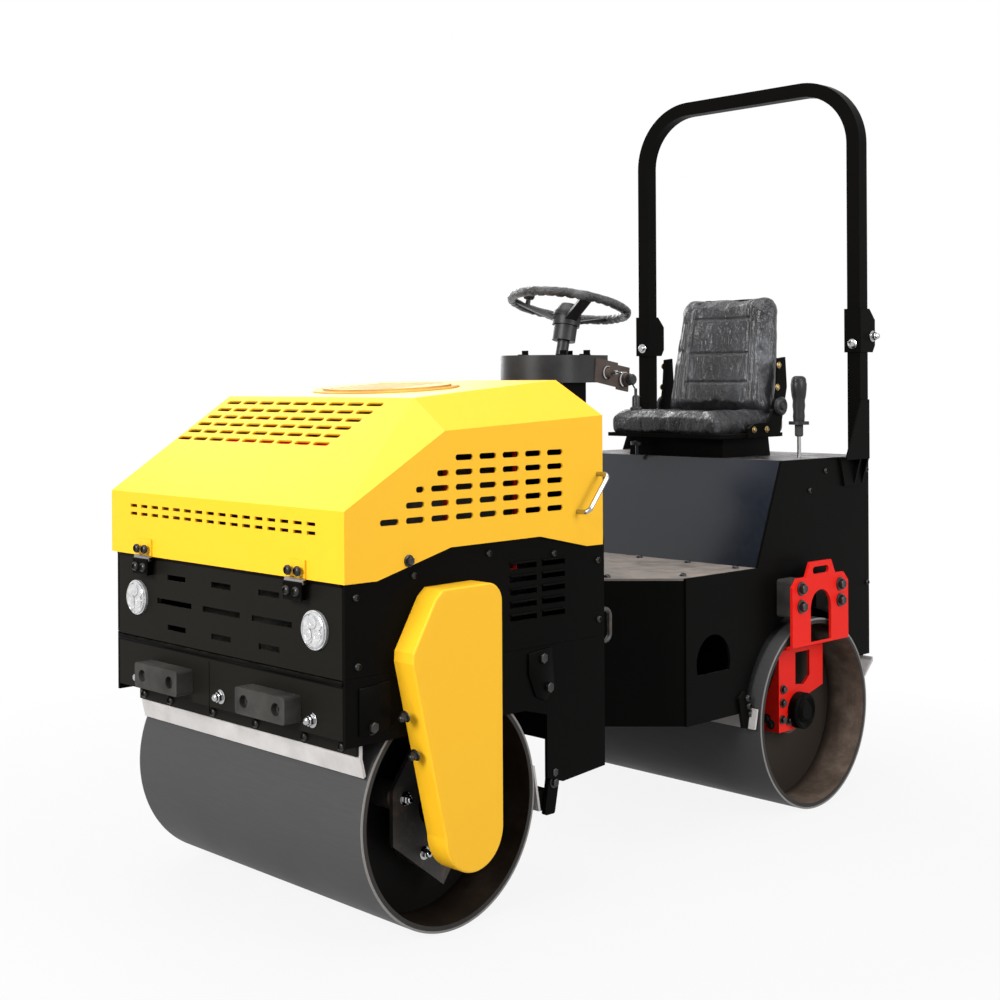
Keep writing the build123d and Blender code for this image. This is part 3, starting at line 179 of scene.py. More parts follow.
def spread(tree, value, low, high, span=(0.0, 1.0)):
    """A Map Range node: a value that runs over the span comes out running from low to high."""
    node = add_node(tree, "ShaderNodeMapRange")
    node.inputs["From Min"].default_value, node.inputs["From Max"].default_value = span
    node.inputs["To Min"].default_value = low
    node.inputs["To Max"].default_value = high
    link(tree, value, node.inputs["Value"])
    return node.outputs[0]


def split_up(tree, vector):
    """The X, Y and Z of a vector."""
    node = add_node(tree, "ShaderNodeSeparateXYZ")
    link(tree, vector, node.inputs[0])
    return node.outputs


def length_of(tree, vector):
    node = add_node(tree, "ShaderNodeVectorMath", operation="LENGTH")
    link(tree, vector, node.inputs[0])
    return node.outputs["Value"]


def make_group(name, inputs, outputs):
    group = bpy.data.node_groups.new(name, "ShaderNodeTree")
    for label, kind, value in inputs:
        socket = group.interface.new_socket(label, in_out="INPUT", socket_type=kind)
        socket.default_value = value
    for label, kind in outputs:
        group.interface.new_socket(label, in_out="OUTPUT", socket_type=kind)
    return group, add_node(group, "NodeGroupInput"), add_node(group, "NodeGroupOutput")


def use_group(tree, group, **values):
    node = add_node(tree, "ShaderNodeGroup", node_tree=group)
    for name, value in values.items():
        feed(tree, value, node.inputs[name.capitalize()])
    return node


# Effects that several finishes share
def sprayed_coat_group():
    """Orange peel of sprayed paint, with slow drifts of gloss and shade."""
    group, source, result = make_group(
        "sprayed_coat",
        [("Colour", "NodeSocketColor", (0.8, 0.5, 0.05, 1)), ("Shade", "NodeSocketFloat", 0.12),
         ("Gloss", "NodeSocketFloat", 0.3), ("Peel", "NodeSocketFloat", 0.1)],
        [("Colour", "NodeSocketColor"), ("Roughness", "NodeSocketFloat"), ("Normal", "NodeSocketVector")],
    )
    place = object_place(group)
    cloud = noise(group, place, 3.0, 3.0)
    speck = noise(group, place, 60.0, 4.0, 0.6)
    peel = noise(group, place, 420.0, 1.0, 0.4)
    shade = work_out(group, "MULTIPLY", cloud, source.outputs["Shade"])
    shaded = mix_colour(group, shade, source.outputs["Colour"], (0.02, 0.018, 0.015, 1))
    gloss = work_out(group, "MULTIPLY_ADD", speck, 0.16, source.outputs["Gloss"])
    link(group, shaded, result.inputs["Colour"])
    link(group, gloss, result.inputs["Roughness"])
    link(group, bump(group, peel, source.outputs["Peel"], 0.0004), result.inputs["Normal"])
    return group


def settled_dust_group():
    """Dust on upward faces, broken up by noise; puts out a mask."""
    group, source, result = make_group(
        "settled_dust",
        [("Amount", "NodeSocketFloat", 0.4), ("Patch", "NodeSocketFloat", 18.0)],
        [("Mask", "NodeSocketFloat")],
    )
    place = object_place(group)
    normal = split_up(group, add_node(group, "ShaderNodeTexCoord").outputs["Normal"])
    upward = spread(group, normal["Z"], 0.0, 1.0, (0.5, 1.0))
    speckle = noise(group, place, source.outputs["Patch"], 6.0, 0.7)
    broken = spread(group, speckle, 0.0, 1.0, (0.38, 0.68))
    patches = work_out(group, "MULTIPLY", upward, broken)
    mask = work_out(group, "MULTIPLY", patches, source.outputs["Amount"])
    link(group, mask, result.inputs["Mask"])
    return group


SPRAYED_COAT = sprayed_coat_group()
SETTLED_DUST = settled_dust_group()


def painted(name, colour, gloss, shade=0.1, peel=0.12, dust=0.0, dust_colour=(0.3, 0.24, 0.18, 1),
            mirror=0.5):
    """Sprayed paint, with settled dust where the amount is above zero."""
    material, tree, shader = new_material(name)
    spray = use_group(tree, SPRAYED_COAT, colour=(*colour, 1), shade=shade, gloss=gloss, peel=peel)
    colour_out = spray.outputs["Colour"]
    rough_out = spray.outputs["Roughness"]
    if dust > 0:
        mask = use_group(tree, SETTLED_DUST, amount=dust, patch=16.0).outputs["Mask"]
        colour_out = mix_colour(tree, mask, colour_out, dust_colour)
        rough_out = work_out(tree, "MULTIPLY_ADD", mask, 0.5, rough_out)
    link(tree, colour_out, shader.inputs["Base Color"])
    link(tree, rough_out, shader.inputs["Roughness"])
    link(tree, spray.outputs["Normal"], shader.inputs["Normal"])
    shader.inputs["Specular IOR Level"].default_value = mirror
    return material


def metal(name, colour, roughness, grain_scale=200.0, metallic=1.0, rust=0.0):
    """Bare metal with fine grain, darker clouds, and rust in patches where the amount is above zero."""
    material, tree, shader = new_material(name)
    fine = noise(tree, object_place(tree), grain_scale, 3.0)
    blotch = noise(tree, object_place(tree), 7.0, 5.0, 0.62)
    dark = tuple(c * 0.6 for c in colour)
    colour_out = ramp(tree, blotch, [(0.3, dark), (0.7, colour)])
    if rust > 0:
        spots = noise(tree, object_place(tree), 26.0, 8.0, 0.7)
        patch = spread(tree, spots, 0.0, 1.0, (0.62 - 0.3 * rust, 0.8 - 0.3 * rust))
        rusty = ramp(tree, blotch, [(0.3, (0.055, 0.03, 0.02)), (0.7, (0.13, 0.075, 0.045))])
        colour_out = mix_colour(tree, patch, colour_out, rusty)
        link(tree, spread(tree, patch, metallic, 0.1), shader.inputs["Metallic"])
    else:
        shader.inputs["Metallic"].default_value = metallic
    link(tree, colour_out, shader.inputs["Base Color"])
    rough_out = spread(tree, fine, max(0.03, roughness - 0.1), roughness + 0.14)
    link(tree, rough_out, shader.inputs["Roughness"])
    link(tree, bump(tree, fine, 0.15, 0.0006), shader.inputs["Normal"])
    return material


def moulded(name, colour, roughness, grain_scale=900.0, strength=0.25, mottled=0.25, mirror=0.4):
    """Rubber or plastic from a mould, with a fine grain and slightly mottled."""
    material, tree, shader = new_material(name)
    place = object_place(tree)
    grain = noise(tree, place, grain_scale, 2.0)
    blotch = noise(tree, place, 9.0, 4.0, 0.6)
    pale = tuple(min(1.0, c * (1 + mottled) + 0.01) for c in colour)
    dark = tuple(c * (1 - mottled) for c in colour)
    link(tree, ramp(tree, blotch, [(0.3, dark), (0.7, pale)]), shader.inputs["Base Color"])
    link(tree, spread(tree, blotch, roughness - 0.08, roughness + 0.12), shader.inputs["Roughness"])
    link(tree, bump(tree, grain, strength, 0.0005), shader.inputs["Normal"])
    shader.inputs["Specular IOR Level"].default_value = mirror
    return material


# Finishes
YELLOW = painted("hood_yellow", (0.86, 0.465, 0.014), 0.38, shade=0.04, peel=0.1, dust=0.05, mirror=0.26)
BLACK = painted("frame_black", (0.002, 0.0019, 0.0018), 0.30, shade=0.1, peel=0.16, dust=0.08,
                mirror=0.018)
# The lamp panel and front beam get a lighter black than the frame: partly more dust, partly painted sheen where
# they face forward
FRONT_BLACK_DUST_AND_SHEEN = painted("front_black_dust_and_sheen", (0.0085, 0.0075, 0.006), 0.34, shade=0.12, peel=0.2, dust=0.10,
                      mirror=0.035)
DECK = painted("deck_dusty_black", (0.15, 0.132, 0.12), 0.42, shade=0.2, peel=0.2, dust=0.9,
               dust_colour=(0.27, 0.23, 0.2, 1), mirror=0.2)
# Seat box: the bluish tint in its black is a painted reflection of a blue sky; the dust on its top is real dust
BOX_DUST_AND_REFLECTION = painted("seat_box_black_dust_and_reflection", (0.006, 0.009, 0.016), 0.14, shade=0.1, peel=0.14, dust=0.85,
              dust_colour=(0.13, 0.105, 0.09, 1), mirror=0.55)
SOCKET = painted("blacked_screw", (0.007, 0.0065, 0.006), 0.26, shade=0.1, peel=0.05, mirror=0.4)
RED = painted("arm_red", (0.74, 0.012, 0.006), 0.36, shade=0.08, peel=0.2, dust=0.05, mirror=0.12)
RUBBER = moulded("buffer_rubber", (0.028, 0.026, 0.023), 0.65, 300.0, 0.5, 0.5, mirror=0.2)
WHITE = moulded("scraper_white", (0.45, 0.43, 0.42), 0.45, 200.0, 0.2, 0.16)
PLASTIC = moulded("moulded_black", (0.010, 0.010, 0.011), 0.34, mirror=0.25)
BROWN = moulded("switch_brown", (0.05, 0.034, 0.028), 0.5, mirror=0.2)
VENT = moulded("vent_brown", (0.46, 0.25, 0.045), 0.5, 300.0, 0.3, mirror=0.2)
STEEL = metal("bolt_steel", (0.42, 0.41, 0.4), 0.3, rust=0.15)
COPPER_BOLT = metal("yellow_zinc", (0.5, 0.36, 0.16), 0.3, rust=0.1)
CHROME = metal("polished_chrome", (0.55, 0.55, 0.56), 0.12, grain_scale=60.0)
IRON = metal("cast_iron", (0.055, 0.052, 0.05), 0.5, metallic=0.5, rust=0.35)


# Places on the drum, in metres, where its finish changes, and where the painted shade deep in its recess fades out
RECESS_DARK_FROM, RECESS_LIT_FROM = 0.318, 0.345
RIM_WIDTH = 0.0015
WORN_EDGE = 0.0055


def drum_steel():
    """Rolled drum: satin dark outside with rolling scratches, rusty recess under painted shade, bright bare rim.
    """
    material, tree, shader = new_material("drum_satin_steel")
    place = object_place(tree)
    streaks = noise(tree, object_place(tree, (1.5, 30, 30)), 9.0, 5.0, 0.6)
    cloud = noise(tree, place, 4.0, 4.0, 0.6)
    outer = ramp(tree, streaks, [(0.2, (0.056, 0.056, 0.056)), (0.8, (0.066, 0.066, 0.066))])
    rust = ramp(tree, noise(tree, place, 14.0, 8.0, 0.7),
                [(0.3, (0.07, 0.053, 0.042)), (0.5, (0.12, 0.09, 0.07)), (0.72, (0.20, 0.155, 0.125))])

    # Where a point lies: across the machine, on which drum, and how far from that drum's axle
    at = split_up(tree, place)
    normal = split_up(tree, add_node(tree, "ShaderNodeTexCoord").outputs["Normal"])
    across = work_out(tree, "ABSOLUTE", at["X"])
    rear = work_out(tree, "GREATER_THAN", at["Y"], 0.0)
    axle = work_out(tree, "MULTIPLY_ADD", rear, REAR_AXLE - FRONT_AXLE, FRONT_AXLE)
    along = work_out(tree, "SUBTRACT", at["Y"], axle)
    height = work_out(tree, "SUBTRACT", at["Z"], AXLE_Z)
    from_axle = add_node(tree, "ShaderNodeCombineXYZ")
    link(tree, along, from_axle.inputs["Y"])
    link(tree, height, from_axle.inputs["Z"])
    radius = length_of(tree, from_axle.outputs[0])
    outward = work_out(tree, "ADD", work_out(tree, "MULTIPLY", height, normal["Z"]),
                       work_out(tree, "MULTIPLY", along, normal["Y"]))
    outside = work_out(tree, "GREATER_THAN", outward, 0.05)

    # The recess is rust under painted shade in front, bare rust behind, and painted shade darkens it towards the
    # middle
    front_shade = mix_colour(tree, rear, (0.13, 0.12, 0.11, 1), (1, 1, 1, 1))
    shaded = mix_colour(tree, rear, (0.006, 0.005, 0.0045, 1), (0.03, 0.024, 0.019, 1))
    lit = spread(tree, across, 0.0, 1.0, (RECESS_DARK_FROM, RECESS_LIT_FROM))
    recess = mix_colour(tree, lit, shaded, mix_colour(tree, 1.0, rust, front_shade, "MULTIPLY"))
    rim = work_out(tree, "GREATER_THAN", across, DRUM_END - RIM_WIDTH)
    edge = work_out(tree, "GREATER_THAN", radius, AXLE_Z - WORN_EDGE)
    worn = mix_colour(tree, edge, (0.035, 0.033, 0.032, 1), (0.22, 0.21, 0.205, 1))
    colour = mix_colour(tree, rim, mix_colour(tree, outside, recess, outer), worn)
    link(tree, colour, shader.inputs["Base Color"])
    link(tree, work_out(tree, "MULTIPLY", outside, 0.05), shader.inputs["Metallic"])
    link(tree, spread(tree, cloud, 0.36, 0.58), shader.inputs["Roughness"])
    shader.inputs["Specular IOR Level"].default_value = 0.06
    link(tree, bump(tree, streaks, 0.04, 0.001), shader.inputs["Normal"])
    return material


def clear_film(name, colour, scale):
    """Black vinyl under crinkled clear film: broad soft sheen below, sharp glinting folds above."""
    material, tree, shader = new_material(name)
    place = object_place(tree, (1.0, 1.0, 0.55))
    crease = add_node(tree, "ShaderNodeTexNoise", noise_type="RIDGED_MULTIFRACTAL")
    crease.inputs["Scale"].default_value = scale * 0.5
    crease.inputs["Detail"].default_value = 3.0
    crease.inputs["Distortion"].default_value = 0.7
    link(tree, place, crease.inputs["Vector"])
    fine = noise(tree, place, scale * 3.5, 4.0, 0.6)
    folds = work_out(tree, "MULTIPLY_ADD", crease.outputs["Fac"], 0.7, fine)
    haze = noise(tree, place, scale * 0.7, 4.0, 0.6)
    clouded = tuple(c * 1.8 + 0.006 for c in colour)
    milky = ramp(tree, haze, [(0.35, colour), (0.55, clouded), (0.72, (0.085, 0.09, 0.10))])
    link(tree, milky, shader.inputs["Base Color"])
    link(tree, spread(tree, haze, 0.32, 0.52), shader.inputs["Roughness"])
    shader.inputs["Specular IOR Level"].default_value = 0.1
    shader.inputs["Coat Weight"].default_value = 0.6
    shader.inputs["Coat Roughness"].default_value = 0.03
    grain = noise(tree, place, 700.0, 2.0)
    link(tree, bump(tree, grain, 0.2, 0.0006), shader.inputs["Normal"])
    link(tree, bump(tree, folds, 0.9, 0.010), shader.inputs["Coat Normal"])
    return material


def lamp_lens():
    """Bright bowl under clear glass, faceted by small cells."""
    material, tree, shader = new_material("lamp_lens")
    place = object_place(tree)
    facets = add_node(tree, "ShaderNodeTexVoronoi")
    facets.inputs["Scale"].default_value = 70.0
    link(tree, place, facets.inputs["Vector"])
    silver = ramp(tree, facets.outputs["Distance"], [(0.0, (0.66, 0.66, 0.66)), (0.6, (0.48, 0.48, 0.49))])
    link(tree, silver, shader.inputs["Base Color"])
    shader.inputs["Metallic"].default_value = 0.5
    shader.inputs["Roughness"].default_value = 0.12
    shader.inputs["Coat Weight"].default_value = 1.0
    link(tree, bump(tree, facets.outputs["Distance"], 0.2, 0.001), shader.inputs["Normal"])
    return material


DRUM = drum_steel()
VINYL = clear_film("seat_vinyl_in_film", (0.009, 0.009, 0.0105), 12.0)
FILM = clear_film("rim_in_film", (0.012, 0.012, 0.013), 26.0)
LENS = lamp_lens()

FINISH_OF_SLOT = {
    "yellow_paint": YELLOW, "black_paint": BLACK, "deck_paint": DECK, "red_paint": RED, "drum_steel": DRUM,
    "white_plastic": WHITE, "black_plastic": PLASTIC, "brown_plastic": BROWN, "seat_vinyl": VINYL,
    "rubber": RUBBER, "chrome": CHROME, "lamp_lens": LENS, "engine_iron": IRON,
}
slot_of = {row["node"]: row["material_slot"] for row in frame["record"]["subparts"]}
for node_name, node_object in frame["nodes"].items():
    finish = FINISH_OF_SLOT[slot_of[node_name]]
    node_object.data.materials.clear()
    node_object.data.materials.append(finish)
frame["nodes"]["hood_vent"].data.materials[0] = VENT
frame["nodes"]["lashing_loops"].data.materials[0] = IRON
frame["nodes"]["seat_box"].data.materials[0] = BOX_DUST_AND_REFLECTION
frame["nodes"]["hinge_leaves_hood"].data.materials[0] = YELLOW
for front_node in ("lamp_panel", "front_beam"):
    frame["nodes"][front_node].data.materials[0] = FRONT_BLACK_DUST_AND_SHEEN


# Tools for making pieces by hand


def choose(*pieces):
    bpy.ops.object.select_all(action="DESELECT")
    for piece in pieces:
        piece.select_set(True)
    bpy.context.view_layer.objects.active = pieces[0]


def edit_whole(piece):
    """Edit mode with all of the piece selected."""
    choose(piece)
    bpy.ops.object.mode_set(mode="EDIT")
    bpy.ops.mesh.select_all(action="SELECT")


def pick_faces(piece, wanted):
    """Edit mode with only the faces selected whose centre and normal are wanted."""
    choose(piece)
    bpy.ops.object.mode_set(mode="EDIT")
    bpy.ops.mesh.select_mode(type="FACE")
    bpy.ops.mesh.select_all(action="DESELECT")
    bpy.ops.object.mode_set(mode="OBJECT")
    for face in piece.data.polygons:
        face.select = bool(wanted(face.center, face.normal))
    bpy.ops.object.mode_set(mode="EDIT")


def leave_edit():
    bpy.ops.object.mode_set(mode="OBJECT")


def settle(piece):
    """Write a piece's place, turn and scale into its mesh."""
    choose(piece)
    bpy.ops.object.transform_apply(location=True, rotation=True, scale=True)


def apply_modifier(piece, modifier):
    choose(piece)
    bpy.ops.object.modifier_apply(modifier=modifier.name)


def fit_out(piece, name, finish, body, angle=35):
    """Name a piece, give it its finish and let it ride its body."""
    settle(piece)
    bpy.ops.object.shade_smooth_by_angle(angle=radians(angle))
    piece.name = name
    piece.data.name = name
    piece.data.materials.clear()
    piece.data.materials.append(finish)
    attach(piece, body)
    return piece


def rod(sides, radius, length, at=(0, 0, 0)):
    """A cylinder that stands on the given point."""
    bpy.ops.mesh.primitive_cylinder_add(
        vertices=sides, radius=radius, depth=length, location=(at[0], at[1], at[2] + length / 2))
    piece = bpy.context.object
    settle(piece)
    return piece


def block(size, at, edge, segments=2):
    """A box with rounded edges, centred on the given point."""
    bpy.ops.mesh.primitive_cube_add(size=1, location=at)
    piece = bpy.context.object
    piece.scale = size
    settle(piece)
    edit_whole(piece)
    bpy.ops.mesh.bevel(offset=edge, segments=segments, affect="EDGES")
    leave_edit()
    return piece


def join_all(pieces):
    choose(*pieces)
    bpy.ops.object.join()
    return bpy.context.object


def step_in(piece, wanted, narrow, rise):
    """Inset the wanted faces and move the new face along the outward direction."""
    pick_faces(piece, wanted)
    bpy.ops.mesh.inset(thickness=narrow, depth=rise)
    leave_edit()


def cut_across(piece, heights):
    """Level cuts through a piece, so that it can be shaped between them."""
    choose(piece)
    bpy.ops.object.mode_set(mode="EDIT")
    for height in heights:
        bpy.ops.mesh.select_all(action="SELECT")
        bpy.ops.mesh.bisect(plane_co=(0, 0, height), plane_no=(0, 0, 1))
    leave_edit()


def put(piece, at):
    """Move a piece so that its own origin lands on the point."""
    piece.location = at
    settle(piece)
    return piece


def stand(piece, direction, at):
    """Turn a piece's Z axis to the direction, and move the piece to the point."""
    piece.rotation_euler = Vector(direction).to_track_quat("Z", "Y").to_euler()
    return put(piece, at)


def top_at(height):
    return lambda centre, normal: normal.z > 0.9 and abs(centre.z - height) < 1e-5


def hex_bolt(across, head=None):
    """Hexagon head with a trimmed crown on a round washer."""
    head = head or across * 0.42
    washer = rod(20, across * 0.78, across * 0.12)
    step_in(washer, top_at(across * 0.12), across * 0.06, across * 0.03)
    crown = rod(6, across * 0.577, head, (0, 0, across * 0.12))
    step_in(crown, top_at(across * 0.12 + head), across * 0.07, across * 0.05)
    step_in(crown, top_at(across * 0.17 + head), across * 0.16, -across * 0.04)
    return join_all([washer, crown])


def dome_screw(radius):
    """Low round head with a hexagon socket."""
    head = rod(18, radius, radius * 0.35)
    step_in(head, top_at(radius * 0.35), radius * 0.16, radius * 0.25)
    step_in(head, top_at(radius * 0.60), radius * 0.22, radius * 0.14)
    step_in(head, top_at(radius * 0.74), radius * 0.20, 0.0)
    step_in(head, top_at(radius * 0.74), radius * 0.03, -radius * 0.35)
    return head


def cap_nut(across):
    """Domed nut with its washer."""
    washer = rod(20, across * 0.78, across * 0.13)
    step_in(washer, top_at(across * 0.13), across * 0.06, across * 0.03)
    nut = rod(6, across * 0.577, across * 0.5, (0, 0, across * 0.13))
    step_in(nut, top_at(across * 0.63), across * 0.08, across * 0.06)
    dome = rod(16, across * 0.42, across * 0.2, (0, 0, across * 0.68))
    step_in(dome, top_at(across * 0.88), across * 0.06, across * 0.14)
    step_in(dome, top_at(across * 1.02), across * 0.12, across * 0.08)
    return join_all([washer, nut, dome])


def place_all(template, places, name, finish, body):
    """Copies of a small piece at many places, each turned to its direction, as one joined piece."""
    copies = []
    for at, direction in places:
        twin = template.copy()
        twin.data = template.data.copy()
        bpy.context.collection.objects.link(twin)
        copies.append(stand(twin, direction, at))
    whole = join_all(copies)
    bpy.data.objects.remove(template, do_unlink=True)
    return fit_out(whole, name, finish, body)


LEFT, FORWARD, UP = (1, 0, 0), (0, -1, 0), (0, 0, 1)


def both_sides(x, spots):
    """The same spots on the left and on the right side of the machine."""
    return [((side * x, y, z), (side, 0, 0)) for side in (1, -1) for y, z in spots]


def facing_front(y, z, across):
    """Spots in a row across the machine that face forward."""
    return [((x, y, z), FORWARD) for x in across]


# Screws, bolts and nuts
HINGES_X = (0.306, -0.306)
HINGE_SCREWS_X = [x + dx for x in HINGES_X for dx in (-0.017, 0.017)]
PLATE_NUT_CIRCLE = ((162, 0.100), (252, 0.112), (342, 0.112), (72, 0.112))

place_all(dome_screw(0.0085), both_sides(FRONT_SIDE, [
    (-1.0475, 0.800), (-1.0425, 0.649), (-0.8745, 0.833), (-0.6325, 0.864), (-0.4045, 0.846),
    (-0.2395, 0.816), (-0.2365, 0.667)]), "side_panel_screws", SOCKET, "front_body")
place_all(dome_screw(0.0085), both_sides(REAR_SIDE, [
    (0.8815, 0.990), (0.7955, 0.935), (1.1115, 0.985), (1.1135, 0.632)]),
    "rear_side_screws", SOCKET, "rear_body")
place_all(hex_bolt(0.022), both_sides(FRONT_SIDE, [(-0.452, 0.596), (-0.430, 0.522), (-1.003, 0.512)]),
          "frame_bolts", SOCKET, "front_body")
place_all(dome_screw(0.0115), facing_front(-1.1062, 0.806, HINGE_SCREWS_X),
          "hinge_screws_low", SOCKET, "front_body")
place_all(dome_screw(0.0115), facing_front(-1.1025, 0.851, HINGE_SCREWS_X),
          "hinge_screws_high", SOCKET, "hood_body")
place_all(dome_screw(0.0115), facing_front(-1.027, 0.462, (-0.405, -0.287, -0.102, 0.070, 0.252, 0.383)),
          "lip_screws", SOCKET, "front_body")
place_all(cap_nut(0.022), facing_front(BEAM_FRONT, 0.521, (-0.343, 0.0, 0.343)),
          "beam_cap_nuts", CHROME, "front_body")
place_all(cap_nut(0.018), [
    ((side * 0.485, y, z), (0, -0.95, -0.31)) for side in (1, -1) for y, z in (
        (-0.9290, 0.530), (-0.8995, 0.440))],
    "cover_screws", SOCKET, "front_body")
place_all(dome_screw(0.010), [
    ((x, y, FLOOR_TOP), UP) for x, y in (
        (0.360, 0.235), (0.360, 0.480), (-0.360, 0.235), (-0.360, 0.480), (0.18, 0.495),
        (-0.18, 0.495), (0.235, 0.060), (-0.235, 0.060), (0.0, 0.495))],
    "floor_bolts", SOCKET, "rear_body")
place_all(hex_bolt(0.026), both_sides(ARM_SIDE, [
    (REAR_AXLE - 0.103, 0.659), (REAR_AXLE - 0.103, 0.607),
    (REAR_AXLE + 0.103, 0.655), (REAR_AXLE + 0.103, 0.607)]),
    "arm_bolts", SOCKET, "rear_body")
place_all(hex_bolt(0.018), both_sides(LEG_SIDE, [
    (REAR_AXLE - 0.082, 0.262), (REAR_AXLE - 0.050, 0.254), (REAR_AXLE - 0.080, 0.311),
    (REAR_AXLE - 0.078, 0.351)]), "arm_leg_bolts", SOCKET, "rear_body")
place_all(hex_bolt(0.018), [
    ((side * x, REAR_AXLE - 0.099, z), FORWARD) for side in (1, -1) for x, z in (
        (0.338, 0.262), (0.352, 0.246))], "arm_foot_bolts", SOCKET, "rear_body")
place_all(dome_screw(0.0105), both_sides(MOUNT_SIDE, [(0.462, 0.362), (0.467, 0.339), (0.475, 0.316)]),
          "rear_scraper_screws", SOCKET, "rear_body")
place_all(hex_bolt(0.018), both_sides(BAR_SIDE, [(-0.4025, 0.309), (-0.400, 0.283)]),
          "front_scraper_screws", SOCKET, "front_body")
place_all(cap_nut(0.020), both_sides(DRIVE_SIDE, [
    (FRONT_AXLE + radius * cos(radians(angle)), AXLE_Z + radius * sin(radians(angle)))
    for angle, radius in PLATE_NUT_CIRCLE]), "drive_plate_nuts", CHROME, "front_drum_body")
place_all(hex_bolt(0.020), facing_front(1.0305, 1.376, (0.408, -0.408)),
          "hoop_post_bolts", CHROME, "rear_body")
place_all(cap_nut(0.022), both_sides(POST_SIDE, [(PIN_Y, PIN_Z)]),
          "hoop_pin_nuts", CHROME, "rear_body")

# Headlamps: three cells under a cut lens, in a chrome ring
LAMP_X, LAMP_Y, LAMP_Z = 0.356, -1.085, 0.722
CELL_REACH = 0.0185


def near_axis(centre, spot):
    return (centre - Vector(spot)).xy.length < 0.002


def headlamp(side):
    bowl = rod(40, 0.040, 0.004)
    step_in(bowl, top_at(0.004), 0.0025, 0.0015)
    step_in(bowl, top_at(0.0055), 0.002, -0.0035)
    parts = [bowl]
    for turn in (90, 210, 330):
        spot = (CELL_REACH * cos(radians(turn)), CELL_REACH * sin(radians(turn)), 0.002)
        cell = rod(24, 0.0145, 0.004, spot)
        step_in(cell, lambda c, n: n.z > 0.9 and c.z > 0.0055, 0.0015, 0.0)
        step_in(cell, lambda c, n: n.z > 0.9 and c.z > 0.0055 and near_axis(c, spot), 0.004, -0.0025)
        step_in(cell, lambda c, n: n.z > 0.9 and 0.003 < c.z < 0.005 and near_axis(c, spot), 0.004, 0.0022)
        parts.append(cell)
    return stand(join_all(parts), FORWARD, (side * LAMP_X, LAMP_Y, LAMP_Z))


for side, hand in ((1, "left"), (-1, "right")):
    fit_out(headlamp(side), "headlamp_cells_" + hand, LENS, "front_body", 50)

# Doubler plates, folded edges, the seam up the beam, and the hood's hinge knuckles
DOUBLER_THICK = 0.005
FOLD_END = 0.446
SEAM_X = -0.049


def doubler(outline, name):
    """Plate of the given outline on the front frame's side face, on both sides."""
    halves = []
    for side in (1, -1):
        mesh = bpy.data.meshes.new(name)
        mesh.from_pydata([(side * FRONT_SIDE, y, z) for y, z in outline], [], [range(len(outline))])
        plate = bpy.data.objects.new(name, mesh)
        bpy.context.collection.objects.link(plate)
        edit_whole(plate)
        bpy.ops.mesh.extrude_region_move(TRANSFORM_OT_translate={"value": (side * DOUBLER_THICK, 0, 0)})
        bpy.ops.mesh.select_all(action="SELECT")
        bpy.ops.mesh.normals_make_consistent(inside=False)
        bpy.ops.mesh.bevel(offset=DOUBLER_THICK * 0.3, segments=2, affect="EDGES")
        leave_edit()
        halves.append(plate)
    return fit_out(join_all(halves), name, BLACK, "front_body")


def bead(start, end, radius, sides=10):
    """Thin rounded bar between two points."""
    run = Vector(end) - Vector(start)
    bar = rod(sides, radius, run.length)
    step_in(bar, lambda c, n: n.z > 0.9, radius * 0.35, radius * 0.2)
    step_in(bar, lambda c, n: n.z < -0.9, radius * 0.35, radius * 0.2)
    return stand(bar, run, start)


def rolled_edge(y, z):
    """Folded edge right across the front."""
    return bead((-FOLD_END, y, z), (FOLD_END, y, z), 0.006)


doubler([(-1.040, 0.497), (-1.040, 0.600), (-0.950, 0.607), (-0.950, 0.510), (-0.975, 0.497)],
        "front_doublers")
doubler([(-0.500, 0.560), (-0.500, 0.610), (-0.418, 0.618), (-0.408, 0.520), (-0.440, 0.490),
         (-0.475, 0.505)], "rear_doublers")
fit_out(join_all([rolled_edge(-1.078, 0.829), rolled_edge(-1.0765, 0.613),
                  bead((SEAM_X, -1.0778, 0.474), (SEAM_X, -1.0778, 0.598), 0.0012)]),
        "front_folds", BLACK, "front_body")
fit_out(join_all([bead((x - 0.031, HINGE_Y, HINGE_Z), (x + 0.031, HINGE_Y, HINGE_Z), 0.0078, 16)
                  for x in HINGES_X]), "hinge_knuckles", STEEL, "hood_body")

# What shows through the slots: the red cooler shroud, and the red belt guards beside the engine
SHROUD_Z = 1.0555
GUARD_X = 0.385


def cooler_shroud():
    shroud = block((0.48, 0.050, 0.145), (0, -0.872, SHROUD_Z), 0.010)
    step_in(shroud, lambda c, n: n.y < -0.9, 0.022, 0.0)
    step_in(shroud, lambda c, n: n.y < -0.9 and abs(c.x) < 0.1 and abs(c.z - SHROUD_Z) < 0.02,
            0.004, -0.025)
    return shroud


def guard_bars(side):
    """Two upright bars and two level ones on one side."""
    x = side * GUARD_X
    posts = [bead((x, y, 0.800), (x, y, 1.120), 0.005) for y in (-0.707, -0.469)]
    rails = [bead((x, -0.712, z), (x, -0.464, z), 0.005) for z in (0.805, 1.115)]
    return posts + rails


fit_out(cooler_shroud(), "cooler_shroud", RED, "front_body")
fit_out(join_all(guard_bars(1) + guard_bars(-1)), "belt_guards", RED, "front_body")

# On the hood: the vent's flange, a bolt at each side, and the hinges' plates below it


def vent_flange():
    """Thin oval flange under the vent, with a rolled edge."""
    flange = rod(64, 0.232, 0.003)
    flange.scale = (1.0, 0.66, 1.0)
    settle(flange)
    step_in(flange, top_at(0.003), 0.006, 0.003)
    step_in(flange, top_at(0.006), 0.006, -0.002)
    flange.rotation_euler = (radians(4.3), 0, 0)
    flange.location = (0, -0.5497, 1.2484)
    return flange


def hinge_plate(x):
    plate = block((0.066, 0.004, 0.042), (x, -1.104, 0.806), 0.0012)
    step_in(plate, lambda c, n: n.y < -0.9, 0.004, 0.0006)
    return plate


